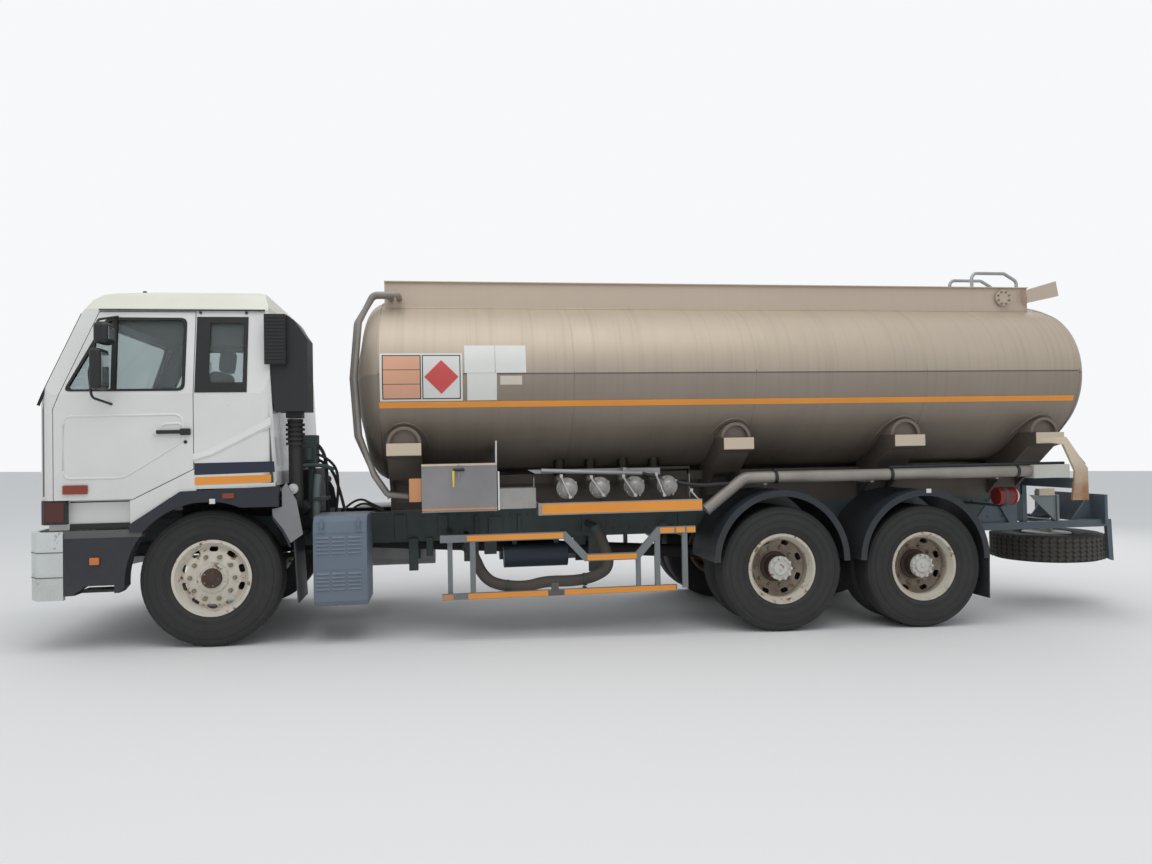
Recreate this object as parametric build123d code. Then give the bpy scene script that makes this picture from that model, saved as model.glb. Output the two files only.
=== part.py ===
from build123d import *
from math import cos, hypot, radians, sin, sqrt
import os

# Three-axle tanker truck with a forward-control tilt cab, in millimetres.
# Two frames are used. The ground frame has Z up from the road and X from the
# front axle to the rear. The chassis frame is level with the frame rails: the
# empty truck stands nose down, so it is turned about the front axle by RAKE.
# The cab front faces -X and the photographed side faces -Y.

# Wheels and axles, ground frame
TYRE_OD = 1060
TYRE_WIDTH = 284
RIM_FLANGE_DIA = 597
RIM_WIDTH = 230
WHEELBASE = 4618
TANDEM = 1300
FRONT_TRACK_HALF = 1020
KINGPIN_HALF = 900
REAR_OUTER_HALF = 1078
REAR_INNER_HALF = 752
RAKE = 1.25
AXLE_Z = TYRE_OD / 2
REAR_AXLES = [("1", WHEELBASE), ("2", WHEELBASE + TANDEM)]
SIDES = [("left", -1), ("right", 1)]

# Frame rails, chassis frame
RAIL_HALF = 430
RAIL_BOTTOM = 690
RAIL_TOP = 955
RAIL_FLANGE = 75
RAIL_WEB = 9
RAIL_FRONT = -1090
RAIL_REAR = 7420
RUNNER_FRONT = 1330
RUNNER_TOP = 1180

# Tank barrel and heads
TANK_HALF_WIDTH = 1220
TANK_MID_Z = 2090
TANK_UP = 745
TANK_DOWN = 850
TANK_SIDE_R = 600
TANK_FRONT = 1283
TANK_REAR = 7460
HEAD_DEPTH = 225
COAMING_HALF = 690
COAMING_TOP = TANK_MID_Z + TANK_UP + 107
COAMING_PLATE = 8
COAMING_FRONT = 1315
COAMING_REAR = 7340
BLIND_FLANGE = (7076, 2838)
# Outline (x, z) of the box arm behind the coaming
REAR_ARM = [(7290, 2785), (7275, 2905), (7590, 2993), (7616, 2852)]

# Cab, chassis frame
CAB_HALF = 1235
CAB_FRONT = -1210
CAB_REAR = 505
CAB_FLOOR = 1165
CAB_WALL = 45
FLOOR_FRONT = CAB_FRONT + 60
DOOR_WALL = 55
BELT_Z = 1960
RAIL_Z = 2612
EAVE_HALF = 1120
DOOR_GAP = 6
CAB_PIVOT = (-1230, 700)
CAB_PIN_R = 20


def box(x0, x1, y0, y1, z0, z1):
    """Block between two corners."""
    size = (x1 - x0, y1 - y0, z1 - z0)
    return Pos((x0 + x1) / 2, (y0 + y1) / 2, (z0 + z1) / 2) * Box(*size)


def joined(shapes):
    """One shape made of all the shapes in the list."""
    return shapes[0] + shapes[1:] if len(shapes) > 1 else shapes[0]


def both_sides(shape):
    """The shape and its mirror image across the middle of the truck."""
    return shape + mirror(shape, about=Plane.XZ)


def side_face(points, y=0):
    """Face across the truck with the outline points (x, z)."""
    return make_face(Polyline([(x, y, z) for x, z in points], close=True))


def side_plate(points, y0, y1):
    """Plate with the outline points (x, z), from y0 to y1."""
    return extrude(side_face(points, y0), amount=y1 - y0, dir=(0, 1, 0))


def front_plate(points, x0, x1):
    """Plate with the outline points (y, z), from x0 to x1."""
    face = make_face(Polyline([(x0, y, z) for y, z in points], close=True))
    return extrude(face, amount=x1 - x0, dir=(1, 0, 0))


def rod(start, end, radius):
    """Round bar between two points."""
    path = Line(start, end)
    return sweep(Plane(origin=start, z_dir=path % 0) * Circle(radius), path=path)


def rod_y(x, z, radius, y0, y1):
    """Round bar across the truck."""
    return rod((x, y0, z), (x, y1, z), radius)


def pipe(points, bend, radius, wall=0):
    """Round pipe along straight runs joined by arcs; solid where wall is 0."""
    path = FilletPolyline(*points, radius=bend)
    ring = Circle(radius) - Circle(radius - wall) if wall else Circle(radius)
    return sweep(Plane(origin=points[0], z_dir=path % 0) * ring, path=path)


def band(points, width):
    """Outline of a strip of the given width along the points (x, z)."""
    left, right = [], []
    for i, (x, z) in enumerate(points):
        before = points[max(i - 1, 0)]
        after = points[min(i + 1, len(points) - 1)]
        turns = []
        for a, b in ((before, (x, z)), ((x, z), after)):
            length = hypot(b[0] - a[0], b[1] - a[1])
            if length:
                turns.append(((a[1] - b[1]) / length, (b[0] - a[0]) / length))
        nx = sum(t[0] for t in turns) / len(turns)
        nz = sum(t[1] for t in turns) / len(turns)
        scale = width / 2 / (nx * nx + nz * nz)
        left.append((x + nx * scale, z + nz * scale))
        right.append((x - nx * scale, z - nz * scale))
    return left + right[::-1]


def on_road(shape):
    """Turn a shape from the chassis frame to the ground frame."""
    return Pos(0, 0, AXLE_Z) * Rot(0, -RAKE, 0) * Pos(0, 0, -AXLE_Z) * shape


def point_on_road(x, y, z):
    """Ground-frame place of a chassis-frame point."""
    a = radians(RAKE)
    up = z - AXLE_Z
    return (x * cos(a) - up * sin(a), y, AXLE_Z + x * sin(a) + up * cos(a))


def point_in_chassis(x, z):
    """Chassis-frame x and z of a ground-frame point."""
    a = radians(RAKE)
    up = z - AXLE_Z
    return (x * cos(a) + up * sin(a), AXLE_Z - x * sin(a) + up * cos(a))


# Frame rails and what hangs on them

CROSSMEMBERS = [-640, 1240, 2380, 3500, 4180, 5268, 6350, 7350]


def chassis_frame():
    rail = box(RAIL_FRONT, RAIL_REAR, RAIL_HALF - RAIL_WEB, RAIL_HALF, RAIL_BOTTOM, RAIL_TOP)
    for z0, z1 in ((RAIL_BOTTOM, RAIL_BOTTOM + RAIL_WEB), (RAIL_TOP - RAIL_WEB, RAIL_TOP)):
        rail += box(RAIL_FRONT, RAIL_REAR, RAIL_HALF - RAIL_FLANGE, RAIL_HALF, z0, z1)
    frame = both_sides(rail)
    for x in CROSSMEMBERS:
        inner = RAIL_HALF - RAIL_WEB
        web = box(x - 4, x + 4, -inner, inner, RAIL_BOTTOM + 40, RAIL_TOP - 40)
        for z in (RAIL_BOTTOM + 40, RAIL_TOP - 48):
            web += box(x - 4, x + 60, -inner, inner, z, z + 8)
        frame += web
    frame += rod_y(-960, 745, 40, -inner, inner)
    posts = box(420, 470, RAIL_HALF - 1, RAIL_HALF + 45, 720, CAB_FLOOR)
    return frame + both_sides(posts)


# x0, x1, half width, z0 and z1
ENGINE = (-430, 680, 330, 640, 1345)
GEARBOX = (680, 1150, 215, 640, 930)


def engine_block():
    """Engine under the cab with the gearbox behind it, as two closed blocks."""
    return joined([box(x0, x1, -half, half, z0, z1) for x0, x1, half, z0, z1 in (ENGINE, GEARBOX)])


def leaf_spring(x_mid, z_eye, length, y, leaves, arch):
    """Pack of leaves on one centre, each shorter than the one above; arch is how far its ends stand up."""
    leaf, width = 13, 80
    up = 1 if arch > 0 else -1
    radius = (length / 2) ** 2 / (2 * abs(arch)) + abs(arch) / 2
    centre = z_eye - arch + up * radius
    pack = []
    for i in range(leaves):
        half = length / 2 * (1 - i / (leaves + 1.5))
        arcs = []
        corners = []
        for r in (radius + up * i * leaf, radius + up * (i + 1) * leaf):
            end_z = centre - up * sqrt(r * r - half * half)
            arcs.append(ThreePointArc((x_mid - half, y, end_z), (x_mid, y, centre - up * r),
                                      (x_mid + half, y, end_z)))
            corners.append(end_z)
        ends = [Line((x_mid + side * half, y, corners[0]), (x_mid + side * half, y, corners[1]))
                for side in (-1, 1)]
        pack.append(Pos(0, -width / 2, 0) * extrude(make_face(arcs + ends), amount=width, dir=(0, 1, 0)))
    return joined(pack)


FRONT_SPRING_Y = 430
KINGPIN_R = 24
KNUCKLE_GAP = 6
KNUCKLE_HALF_HEIGHT = 80
KNUCKLE_EAR = 25
ARM_LENGTH = 190
BALL_HALF = KINGPIN_HALF
BALL_R = 11
SPRING_Y = 520
SPINDLE_END = REAR_OUTER_HALF - 30
HUB_BORE_R = 40


def front_axle():
    beam_drop = 70
    deep, wide = 100, 90
    span = KINGPIN_HALF - 150
    low = AXLE_Z - beam_drop
    beam = box(-wide / 2, wide / 2, -span, span, low - deep / 2, low + deep / 2)
    pocket = box(-wide, -12, -span, span, low - deep / 2 + 18, low + deep / 2 - 18)
    beam -= pocket + mirror(pocket, about=Plane.YZ)
    boss_half = KNUCKLE_HALF_HEIGHT - KNUCKLE_EAR - KNUCKLE_GAP
    arm_points = [
        (span - 2, low - deep / 2), (span - 2, low + deep / 2), (KINGPIN_HALF - 70, AXLE_Z + boss_half),
        (KINGPIN_HALF, AXLE_Z + boss_half), (KINGPIN_HALF, AXLE_Z - boss_half),
        (KINGPIN_HALF - 70, AXLE_Z - boss_half),
    ]
    arm = front_plate(arm_points, -32, 32)
    boss = rod((0, KINGPIN_HALF, AXLE_Z - boss_half), (0, KINGPIN_HALF, AXLE_Z + boss_half), 42)
    pin_half = KNUCKLE_HALF_HEIGHT + 4
    pin = rod((0, KINGPIN_HALF, AXLE_Z - pin_half), (0, KINGPIN_HALF, AXLE_Z + pin_half), KINGPIN_R)
    axle = beam + both_sides(arm + boss + pin)
    spring_top = low + deep / 2 + 100
    spring = leaf_spring(0, spring_top + 60, 1500, FRONT_SPRING_Y, 6, 60)
    saddle = box(-60, 60, FRONT_SPRING_Y - 50, FRONT_SPRING_Y + 50, low + deep / 2 - 2, spring_top - 70)
    hangers = None
    for x in (-745, 745):
        ear = side_plate([(x - 45, spring_top + 40), (x + 45, spring_top + 40),
                          (x + 90, RAIL_BOTTOM + 60), (x - 90, RAIL_BOTTOM + 60)],
                         RAIL_HALF, RAIL_HALF + 31)
        hangers = ear if hangers is None else hangers + ear
    carried = on_road(both_sides(spring + hangers))
    return axle + both_sides(saddle) + carried


def rear_axles():
    """Two driving axles, their hub carriers, springs and the shafts that turn them."""
    pieces = []
    nose_back = 330
    for name, x in REAR_AXLES:
        pieces += [
            rod_y(x, AXLE_Z, 75, -REAR_INNER_HALF + 150, REAR_INNER_HALF - 150),
            rod_y(x, AXLE_Z, HUB_BORE_R - 0.05, -SPINDLE_END, SPINDLE_END),
            rod((x - 70, 0, AXLE_Z), (x + 70, 0, AXLE_Z), 215),
            rod((x - nose_back, 0, AXLE_Z + 20), (x, 0, AXLE_Z + 20), 85),
            rod((x + 60, 0, AXLE_Z), (x + 120, 0, AXLE_Z), 150),
        ]
    trunnion_x = WHEELBASE + TANDEM / 2
    spring_z = AXLE_Z + 190
    pieces.append(rod_y(trunnion_x, AXLE_Z - 20, 60, -570, 570))
    side = [leaf_spring(trunnion_x, spring_z - 60, 1400, 0, 7, -55),
            box(trunnion_x - 90, trunnion_x + 90, -60, 60, AXLE_Z - 70, spring_z - 60)]
    side += [box(x - 60, x + 60, -55, 55, AXLE_Z + 30, spring_z - 60) for name, x in REAR_AXLES]
    pieces.append(both_sides(Pos(0, SPRING_Y, 0) * joined(side)))
    low, high = AXLE_Z - 60, RAIL_BOTTOM + trunnion_x * sin(radians(RAKE)) + 90
    bracket = front_plate([(RAIL_HALF, high), (RAIL_HALF, low), (RAIL_HALF + 24, low),
                           (RAIL_HALF + 24, high)], trunnion_x - 90, trunnion_x + 90)
    pieces.append(both_sides(bracket))
    start = point_on_road(GEARBOX[1] - 20, 0, GEARBOX[3] + 25)
    shaft = rod(start, (WHEELBASE - nose_back + 30, 0, AXLE_Z + 20), 60)
    pieces.append(shaft - on_road(engine_block()))
    pieces.append(rod((WHEELBASE + 60, 0, AXLE_Z + 20), (WHEELBASE + TANDEM - nose_back + 30, 0, AXLE_Z + 20), 50))
    return joined(pieces)


# Wheels


def rim_profile(offset):
    """Half section (radius, y) of a wheel disc and its rim, turned about the axle."""
    r = RIM_FLANGE_DIA / 2
    half = RIM_WIDTH / 2
    return [
        (r, half), (r, half - 12), (r - 16, half - 22), (r - 42, half - 60), (r - 42, -half + 60),
        (r - 16, -half + 22), (r, -half + 12), (r, -half), (r - 24, -half), (r - 52, -half + 55),
        (r - 52, offset - 40), (r - 95, offset - 12), (140, offset), (HUB_BORE_R, offset),
        (HUB_BORE_R, offset + 16), (140, offset + 16), (r - 90, offset + 4), (r - 60, offset - 20),
        (r - 52, half - 55), (r - 24, half),
    ]


def turned(points, x, y, z):
    """Solid turned about an axle across the truck, from points (radius, y)."""
    face = make_face(Polyline([(r, across, 0) for r, across in points], close=True))
    return Pos(x, y, z) * revolve(face, axis=Axis.Y)


def tyre(x, y, z):
    """Tyre with rounded shoulders, open inside where the rim holds it."""
    r = TYRE_OD / 2
    flange = RIM_FLANGE_DIA / 2 + 0.7
    bead = flange - 16.2
    half = TYRE_WIDTH / 2
    rim = RIM_WIDTH / 2 - 24
    points = [
        (bead, rim - 20), (bead, rim), (flange, rim + 10), (flange, rim + 17), (flange + 24, half - 16),
        (flange + 62, half - 4), (r - 110, half), (r - 40, half - 10), (r - 8, half - 32), (r, half - 60),
    ]
    mirrored = [(radius, -across) for radius, across in points[::-1]]
    inner = [(bead + 60, -rim - 5), (r - 60, -half + 40), (r - 60, half - 40), (bead + 60, rim + 5)]
    return turned(points + mirrored + inner, x, y, z)


HAND_HOLE_RING = 222
HAND_HOLE = (66, 38)


def hand_holes(x, y, z, count, turn):
    """Oval holes through a wheel disc, long way round the wheel."""
    drill = []
    for i in range(count):
        a = radians(turn + 360 * i / count)
        place = Plane(origin=(x + HAND_HOLE_RING * cos(a), y - 60, z + HAND_HOLE_RING * sin(a)),
                      x_dir=(-sin(a), 0, cos(a)), z_dir=(0, 1, 0))
        drill.append(extrude(place * SlotOverall(*HAND_HOLE), amount=120, dir=(0, 1, 0)))
    return joined(drill)


def front_wheel(side):
    """Rim, hub and cap of a front wheel; its disc stands near the outer flange."""
    disc = RIM_WIDTH / 2 - 45
    y = side * FRONT_TRACK_HALF
    rim = turned([(r, side * across) for r, across in rim_profile(disc)], 0, y, AXLE_Z)
    rim -= hand_holes(0, y + side * disc, AXLE_Z, 10, 18)
    face = y + side * disc
    hub = rod_y(0, AXLE_Z, 118, face - side * 70, face + side * 24)
    hub += rod_y(0, AXLE_Z, 68, face, face + side * 62)
    hub -= rod_y(0, AXLE_Z, HUB_BORE_R, face - side * 80, face + side * 40)
    return rim + hub


def rear_wheels(x, side):
    """Twin rims back to back on one hub, with the round flange of the half shaft."""
    dish = RIM_WIDTH / 2 - 45
    outer = side * REAR_OUTER_HALF
    inner = side * REAR_INNER_HALF
    rims = turned([(r, -side * across) for r, across in rim_profile(dish)], x, outer, AXLE_Z)
    rims += turned([(r, side * across) for r, across in rim_profile(dish)], x, inner, AXLE_Z)
    disc_outer = outer - side * dish
    disc_inner = inner + side * dish
    hub = rod_y(x, AXLE_Z, 140, disc_inner - side * 10, disc_outer + side * 10)
    hub += rod_y(x, AXLE_Z, 86, disc_outer, outer + side * 55)
    hub += rod_y(x, AXLE_Z, 100, outer + side * 55, outer + side * 75)
    rims -= hand_holes(x, disc_outer, AXLE_Z, 8, 22)
    rims -= hand_holes(x, disc_inner, AXLE_Z, 8, 22)
    bore = rod_y(x, AXLE_Z, HUB_BORE_R, disc_inner - side * 120, (SPINDLE_END + 4) * side)
    return rims + hub - bore


def knuckle(side):
    """Fork round the kingpin, stub axle and steering arm."""
    y = side * KINGPIN_HALF
    top = KNUCKLE_HALF_HEIGHT
    fork = None
    for z0, z1 in ((top - KNUCKLE_EAR, top), (-top, -top + KNUCKLE_EAR)):
        ear = rod((0, y, AXLE_Z + z0), (0, y, AXLE_Z + z1), 48)
        ear += box(-38, 38, min(y, y + side * 62), max(y, y + side * 62), AXLE_Z + z0, AXLE_Z + z1)
        fork = ear if fork is None else fork + ear
    back = sorted((y + side * 50, y + side * 72))
    fork += box(-44, 44, back[0], back[1], AXLE_Z - top, AXLE_Z + top)
    stub_end = side * (FRONT_TRACK_HALF + RIM_WIDTH / 2 - 45 + 30)
    fork += rod_y(0, AXLE_Z, HUB_BORE_R - 0.05, y + side * 60, stub_end)
    arm_y = side * BALL_HALF
    ear_z = AXLE_Z - top
    fork += box(20, ARM_LENGTH, arm_y - 22, arm_y + 22, ear_z, ear_z + KNUCKLE_EAR)
    fork += rod((ARM_LENGTH, arm_y, ear_z), (ARM_LENGTH, arm_y, ear_z + KNUCKLE_EAR), 26)
    fork -= rod((0, y, AXLE_Z - top - 5), (0, y, AXLE_Z + top + 5), KINGPIN_R + 0.05)
    fork -= rod((ARM_LENGTH, arm_y, ear_z - 5), (ARM_LENGTH, arm_y, ear_z + 35), BALL_R + 0.05)
    return fork


def track_rod():
    """Bar that joins the two steering arms, with a ball pin at each end."""
    y = BALL_HALF
    z = AXLE_Z - KNUCKLE_HALF_HEIGHT
    bar = rod_y(ARM_LENGTH, z - 24, 19, -y, y)
    for side in (-1, 1):
        bar += rod((ARM_LENGTH, side * y, z - 44), (ARM_LENGTH, side * y, z - 5.5), 28)
        bar += rod((ARM_LENGTH, side * y, z - 20), (ARM_LENGTH, side * y, z + KNUCKLE_EAR + 3), BALL_R)
    return bar


# Tank

def oval(x, scale=1.0, grow=0.0):
    """Tank section at x: flat arcs above and below, tight arcs at the sides."""
    half = TANK_HALF_WIDTH * scale + grow
    side_r = TANK_SIDE_R * scale + grow
    reach = half - side_r
    edges = []
    ends = []
    for sign, height in ((1, TANK_UP), (-1, TANK_DOWN)):
        rise = height * scale + grow
        big_r = (reach * reach + rise * rise - side_r * side_r) / (2 * (rise - side_r))
        centre = TANK_MID_Z + sign * (rise - big_r)
        slope = hypot(reach, TANK_MID_Z - centre)
        join_y = reach / slope * big_r
        join_z = centre + (TANK_MID_Z - centre) / slope * big_r
        ends.append((join_y, join_z))
        edges.append(ThreePointArc((x, -join_y, join_z), (x, 0, TANK_MID_Z + sign * rise), (x, join_y, join_z)))
    for side in (-1, 1):
        (upper_y, upper_z), (lower_y, lower_z) = ends
        edges.append(ThreePointArc((x, side * upper_y, upper_z), (x, side * half, TANK_MID_Z),
                                   (x, side * lower_y, lower_z)))
    return make_face(edges)


# Share of the barrel's width and share of the head's depth, from seam to crown
HEAD_STEPS = [(1.0, 0.0), (0.93, 0.37), (0.76, 0.65), (0.5, 0.87), (0.2, 0.985)]


def tank_shell():
    barrel = extrude(oval(TANK_FRONT), amount=TANK_REAR - TANK_FRONT, dir=(1, 0, 0))
    for seam, way in ((TANK_FRONT, -1), (TANK_REAR, 1)):
        barrel += loft([oval(seam + way * share * HEAD_DEPTH, scale) for scale, share in HEAD_STEPS])
    return barrel


def tank_space(clear=0.3):
    """Barrel grown a little, to cut what stands against it."""
    return extrude(oval(TANK_FRONT - 50, 1.0, clear), amount=TANK_REAR - TANK_FRONT + 100, dir=(1, 0, 0))


# x0 and x1 of each pair of tank bearers
BEARERS = [(1341, 1615), (4134, 4397), (5684, 5964), (7038, 7312)]
BEARER_END = 1180
BEARER_LOW = 1450
BEARER_TOP = 1550


def tank_bearers():
    """Runners on the frame rails, and for each bearer two boxed wings with a cross box between."""
    inner = RAIL_HALF - RAIL_FLANGE
    runner = box(RUNNER_FRONT, TANK_REAR - 60, inner, RAIL_HALF, RAIL_TOP, RUNNER_TOP)
    runner += box(RUNNER_FRONT, TANK_REAR - 60, 330, 520, RUNNER_TOP, 1262)
    pieces = [runner - tank_space()]
    crosses = []
    for x0, x1 in BEARERS:
        wing = [(BEARER_END, BEARER_TOP), (BEARER_END, BEARER_LOW), (1040, BEARER_LOW - 30),
                (RAIL_HALF - 10, RAIL_TOP + 10), (RAIL_HALF - 10, 1300), (900, BEARER_TOP)]
        bearer = front_plate(wing, x0, x1)
        bearer -= front_plate([(1040, BEARER_LOW - 10), (520, RAIL_TOP + 60), (520, 1200), (1040, 1520)],
                              x0 + 30, x1 - 30)
        middle = (x0 + x1) / 2
        radius = (x1 - x0) / 2
        boss = rod_y(middle, BEARER_TOP, radius, 880, 1105)
        boss -= rod_y(middle, BEARER_TOP, radius - 26, 1070, 1200)
        boss -= box(x0 - 10, x1 + 10, 800, 1200, BEARER_TOP - radius - 10, BEARER_TOP - 2)
        pieces.append(bearer + boss - runner - tank_space())
        crosses.append(box(x0, x1, -inner, inner, RAIL_TOP + 60, RUNNER_TOP))
    halves = [solid for piece in pieces for solid in both_sides(piece).solids()]
    return Compound(halves + crosses)


MANHOLES = [2130, 3610, 5090, 6570]
MANHOLE_R = 260
MANHOLE_TOP = TANK_MID_Z + TANK_UP + 70
LID_R = 150
LID_GAP = 0.5
LID_HINGE = 175
LID_PIN_R = 5


def tank_coaming():
    """Spill rail round the top of the tank, with its front and rear walls."""
    low = TANK_MID_Z + 500
    outer = box(COAMING_FRONT, COAMING_REAR, -COAMING_HALF, COAMING_HALF, low, COAMING_TOP)
    inner = box(COAMING_FRONT + COAMING_PLATE, COAMING_REAR - COAMING_PLATE,
                -COAMING_HALF + COAMING_PLATE, COAMING_HALF - COAMING_PLATE, low - 1, COAMING_TOP + 1)
    rail = outer - inner
    lip = box(COAMING_FRONT, COAMING_REAR, COAMING_HALF - COAMING_PLATE, COAMING_HALF + 22,
              COAMING_TOP - COAMING_PLATE, COAMING_TOP)
    rail += both_sides(lip)
    x, z = BLIND_FLANGE
    rail += rod_y(x, z, 62, -COAMING_HALF - 14, -COAMING_HALF)
    rail += rod_y(x, z, 76, -COAMING_HALF - 30, -COAMING_HALF - 14)
    for i in range(8):
        a = radians(22.5 + 45 * i)
        rail -= rod_y(x + 59 * cos(a), z + 59 * sin(a), 6.5, -COAMING_HALF - 40, -COAMING_HALF - 4)
    rail += side_plate(REAR_ARM, -COAMING_HALF - 80, -COAMING_HALF + 5)
    return rail - tank_space()


def manhole_rings():
    """A raised cover on each compartment; its filler mouth is open upwards."""
    rings = None
    for x in MANHOLES:
        ring = rod((x, 0, TANK_MID_Z + 650), (x, 0, MANHOLE_TOP - 30), MANHOLE_R - 25)
        ring += rod((x, 0, MANHOLE_TOP - 42), (x, 0, MANHOLE_TOP - 24), MANHOLE_R)
        ring += rod((x - 40, 0, MANHOLE_TOP - 30), (x - 40, 0, MANHOLE_TOP), LID_R - 12)
        ring -= rod((x - 40, 0, MANHOLE_TOP - 40), (x - 40, 0, MANHOLE_TOP + 5), LID_R - 30)
        for y in (-60, 60):
            ring += box(x - 40 + LID_HINGE - 14, x - 40 + LID_HINGE + 14, y - 8, y + 8,
                        MANHOLE_TOP - 26, MANHOLE_TOP + 14)
        ring -= rod_y(x - 40 + LID_HINGE, MANHOLE_TOP + 3, LID_PIN_R + 0.05, -80, 80)
        rings = ring if rings is None else rings + ring
    return rings - tank_space()


def manhole_lid(x):
    """Round filler lid with its hinge pin and latch bar."""
    top = MANHOLE_TOP
    lid = rod((x - 40, 0, top + LID_GAP), (x - 40, 0, top + 16), LID_R)
    lid += rod((x - 40, 0, top + 14), (x - 40, 0, top + 24), 40)
    lid += box(x + 70, x - 40 + LID_HINGE, -30, 30, top + LID_GAP, top + 12)
    lid += rod_y(x - 40 + LID_HINGE, top + 3, LID_PIN_R, -68, 68)
    lid += rod_y(x - 40 + LID_HINGE, top + 4, 9, -30, 30)
    lid += box(x - 210, x - 150, -22, 22, top + 6, top + 20)
    return lid


HOSE_TUBE_Y = 1100
HOSE_TUBE_Z = 1205
HOSE_TUBE_R = 50


def tank_pipes():
    """Two drain pipes round the front head and a hose tube along each side."""
    pipes = None
    for y, push, start in ((-900, 0, 1440), (-820, -26, 1370)):
        run = [(start, -COAMING_HALF, 2790), (start, y, 2790), (1235, y, 2790), (1120 + push, y, 2560), (1078 + push, y, 2100),
               (1110 + push, y, 1620), (1225, y, 1290), (1330, y, 1130), (1500, y, 1113)]
        tube = pipe(run, 60, 24)
        pipes = tube if pipes is None else pipes + tube
    pipes += box(RUNNER_FRONT, RUNNER_FRONT + 10, -924, -RAIL_HALF, 1095, 1150)
    for side in (-1, 1):
        y = side * HOSE_TUBE_Y
        start = (3985, y, 940)
        run = [start, (4330, y, HOSE_TUBE_Z), (7020, y, HOSE_TUBE_Z)]
        tube = pipe(run, 130, HOSE_TUBE_R)
        tube += box(7020, 7365, y - 62, y + 62, HOSE_TUBE_Z - 62, HOSE_TUBE_Z + 50)
        for x in (4520, 5500, 6700):
            tube += box(x - 15, x + 15, min(y, side * RAIL_HALF), max(y, side * RAIL_HALF), HOSE_TUBE_Z - 66,
                        HOSE_TUBE_Z - 40)
        pipes += tube
    return pipes

# Outlets under the tank: x of each coupling and their height
OUTLETS = [2800, 3075, 3370, 3655]
OUTLET_Z = 1155


def outlets():
    """Tray with four bottom-loading couplings, each on its pipe from the tank."""
    tray = box(2545, 3920, -1215, -790, 945, 953) + box(2545, 3920, -1220, -1211, 945, 1044)
    for x0, x1 in ((2545, 2553), (3912, 3920)):
        tray += side_plate([(x0, 945), (x1, 945), (x1, 1300), (x0, 1300)], -860, -790)
        tray += box(x0, x1, -1215, -790, 945, 1040)
    tray += box(2545, 3920, -860, -820, 1290, 1312)
    for x in OUTLETS:
        for radius, y0, y1 in ((52, -1000, -760), (76, -1120, -1000), (88, -1098, -1078), (66, -1150, -1120)):
            tray += rod_y(x, OUTLET_Z, radius, y0, y1)
        tray += pipe([(x, -780, OUTLET_Z), (x, -620, OUTLET_Z), (x, -620, 1440)], 60, 48)
    for x in (2620, 3200, 3840):
        tray += box(x - 20, x + 20, -860, -RAIL_HALF, 965, 1005)
        tray += box(x - 20, x + 20, -860, -790, 945, 1005)
    tray += box(2233, 2528, -1200, -960, 1005, 1170) + box(2500, 2560, -1100, -960, 1005, 1045)
    return tray - tank_space()


LOCKER = (1615, 2212, -1222, -760, 992, 1378)
LOCKER_SKIN = 4
LOCKER_DOOR = 24
LOCKER_HINGE_R = 6


def locker():
    """Hollow tool locker, open on its outer side."""
    x0, x1, y0, y1, z0, z1 = LOCKER
    body = box(x0, x1, y0 + LOCKER_DOOR + 5, y1, z0, z1)
    body -= box(x0 + LOCKER_SKIN, x1 - LOCKER_SKIN, y0, y1 - LOCKER_SKIN, z0 + LOCKER_SKIN, z1 - LOCKER_SKIN)
    for x in (x0 + 60, x1 - 100):
        body += box(x, x + 40, y1, -RAIL_HALF, z0 + 10, z0 + 70)
    body += box(x1, x1 + 6, y0 + 200, y1, z0, z1 + 130)
    y, z = y0 + LOCKER_HINGE_R, z0 + LOCKER_HINGE_R
    for x in (x0, x1 - 18):
        body += box(x, x + 18, y, y0 + LOCKER_DOOR + 6, z - 7.5, z + 6)
        body += rod((x, y, z), (x + 18, y, z), 7.5)
    body -= rod((x0 + 1, y, z), (x1 - 1, y, z), LOCKER_HINGE_R + 0.05)
    return body - tank_space()


def locker_door():
    x0, x1, y0, y1, z0, z1 = LOCKER
    door = box(x0, x1, y0, y0 + LOCKER_DOOR, z0 + 14, z1)
    door += rod((x0 + 2, y0 + LOCKER_HINGE_R, z0 + LOCKER_HINGE_R), (x1 - 2, y0 + LOCKER_HINGE_R,
                z0 + LOCKER_HINGE_R), LOCKER_HINGE_R)
    door += box(x0 + 20, x1 - 20, y0 + 2, y0 + 10, z0 + LOCKER_HINGE_R, z0 + 15)
    door += box(x0 + 250, x0 + 336, y0 - 24, y0 - 14, z0 + 330, z0 + 346)
    door += box(x0 + 286, x0 + 300, y0 - 15, y0, z0 + 258, z0 + 378)
    return door


BATTERY_BOX = (772, 1182, -1205, -640, 283, 985)


def battery_box():
    """Louvred steel box; the outer top edge is rounded off."""
    x0, x1, y0, y1, z0, z1 = BATTERY_BOX
    case = front_plate([(y0, z0 + 40), (y0 + 25, z0), (y1, z0), (y1, z1), (y0 + 70, z1), (y0 + 15, z1 - 40),
                        (y0, z1 - 120)], x0, x1)
    for x in (x0 + 20, x0 + 142, x0 + 265):
        for group in (z0 + 130, z0 + 412):
            for row in range(5):
                low = group + row * 30
                case += front_plate([(y0 - 9, low), (y0 + 2, low), (y0 + 2, low + 16)], x, x + 98)
    case += box(x0 + 80, x0 + 120, y1, -RAIL_HALF, 720, 760) + box(x1 - 100, x1 - 60, y1, -RAIL_HALF, 720, 760)
    return case


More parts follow.
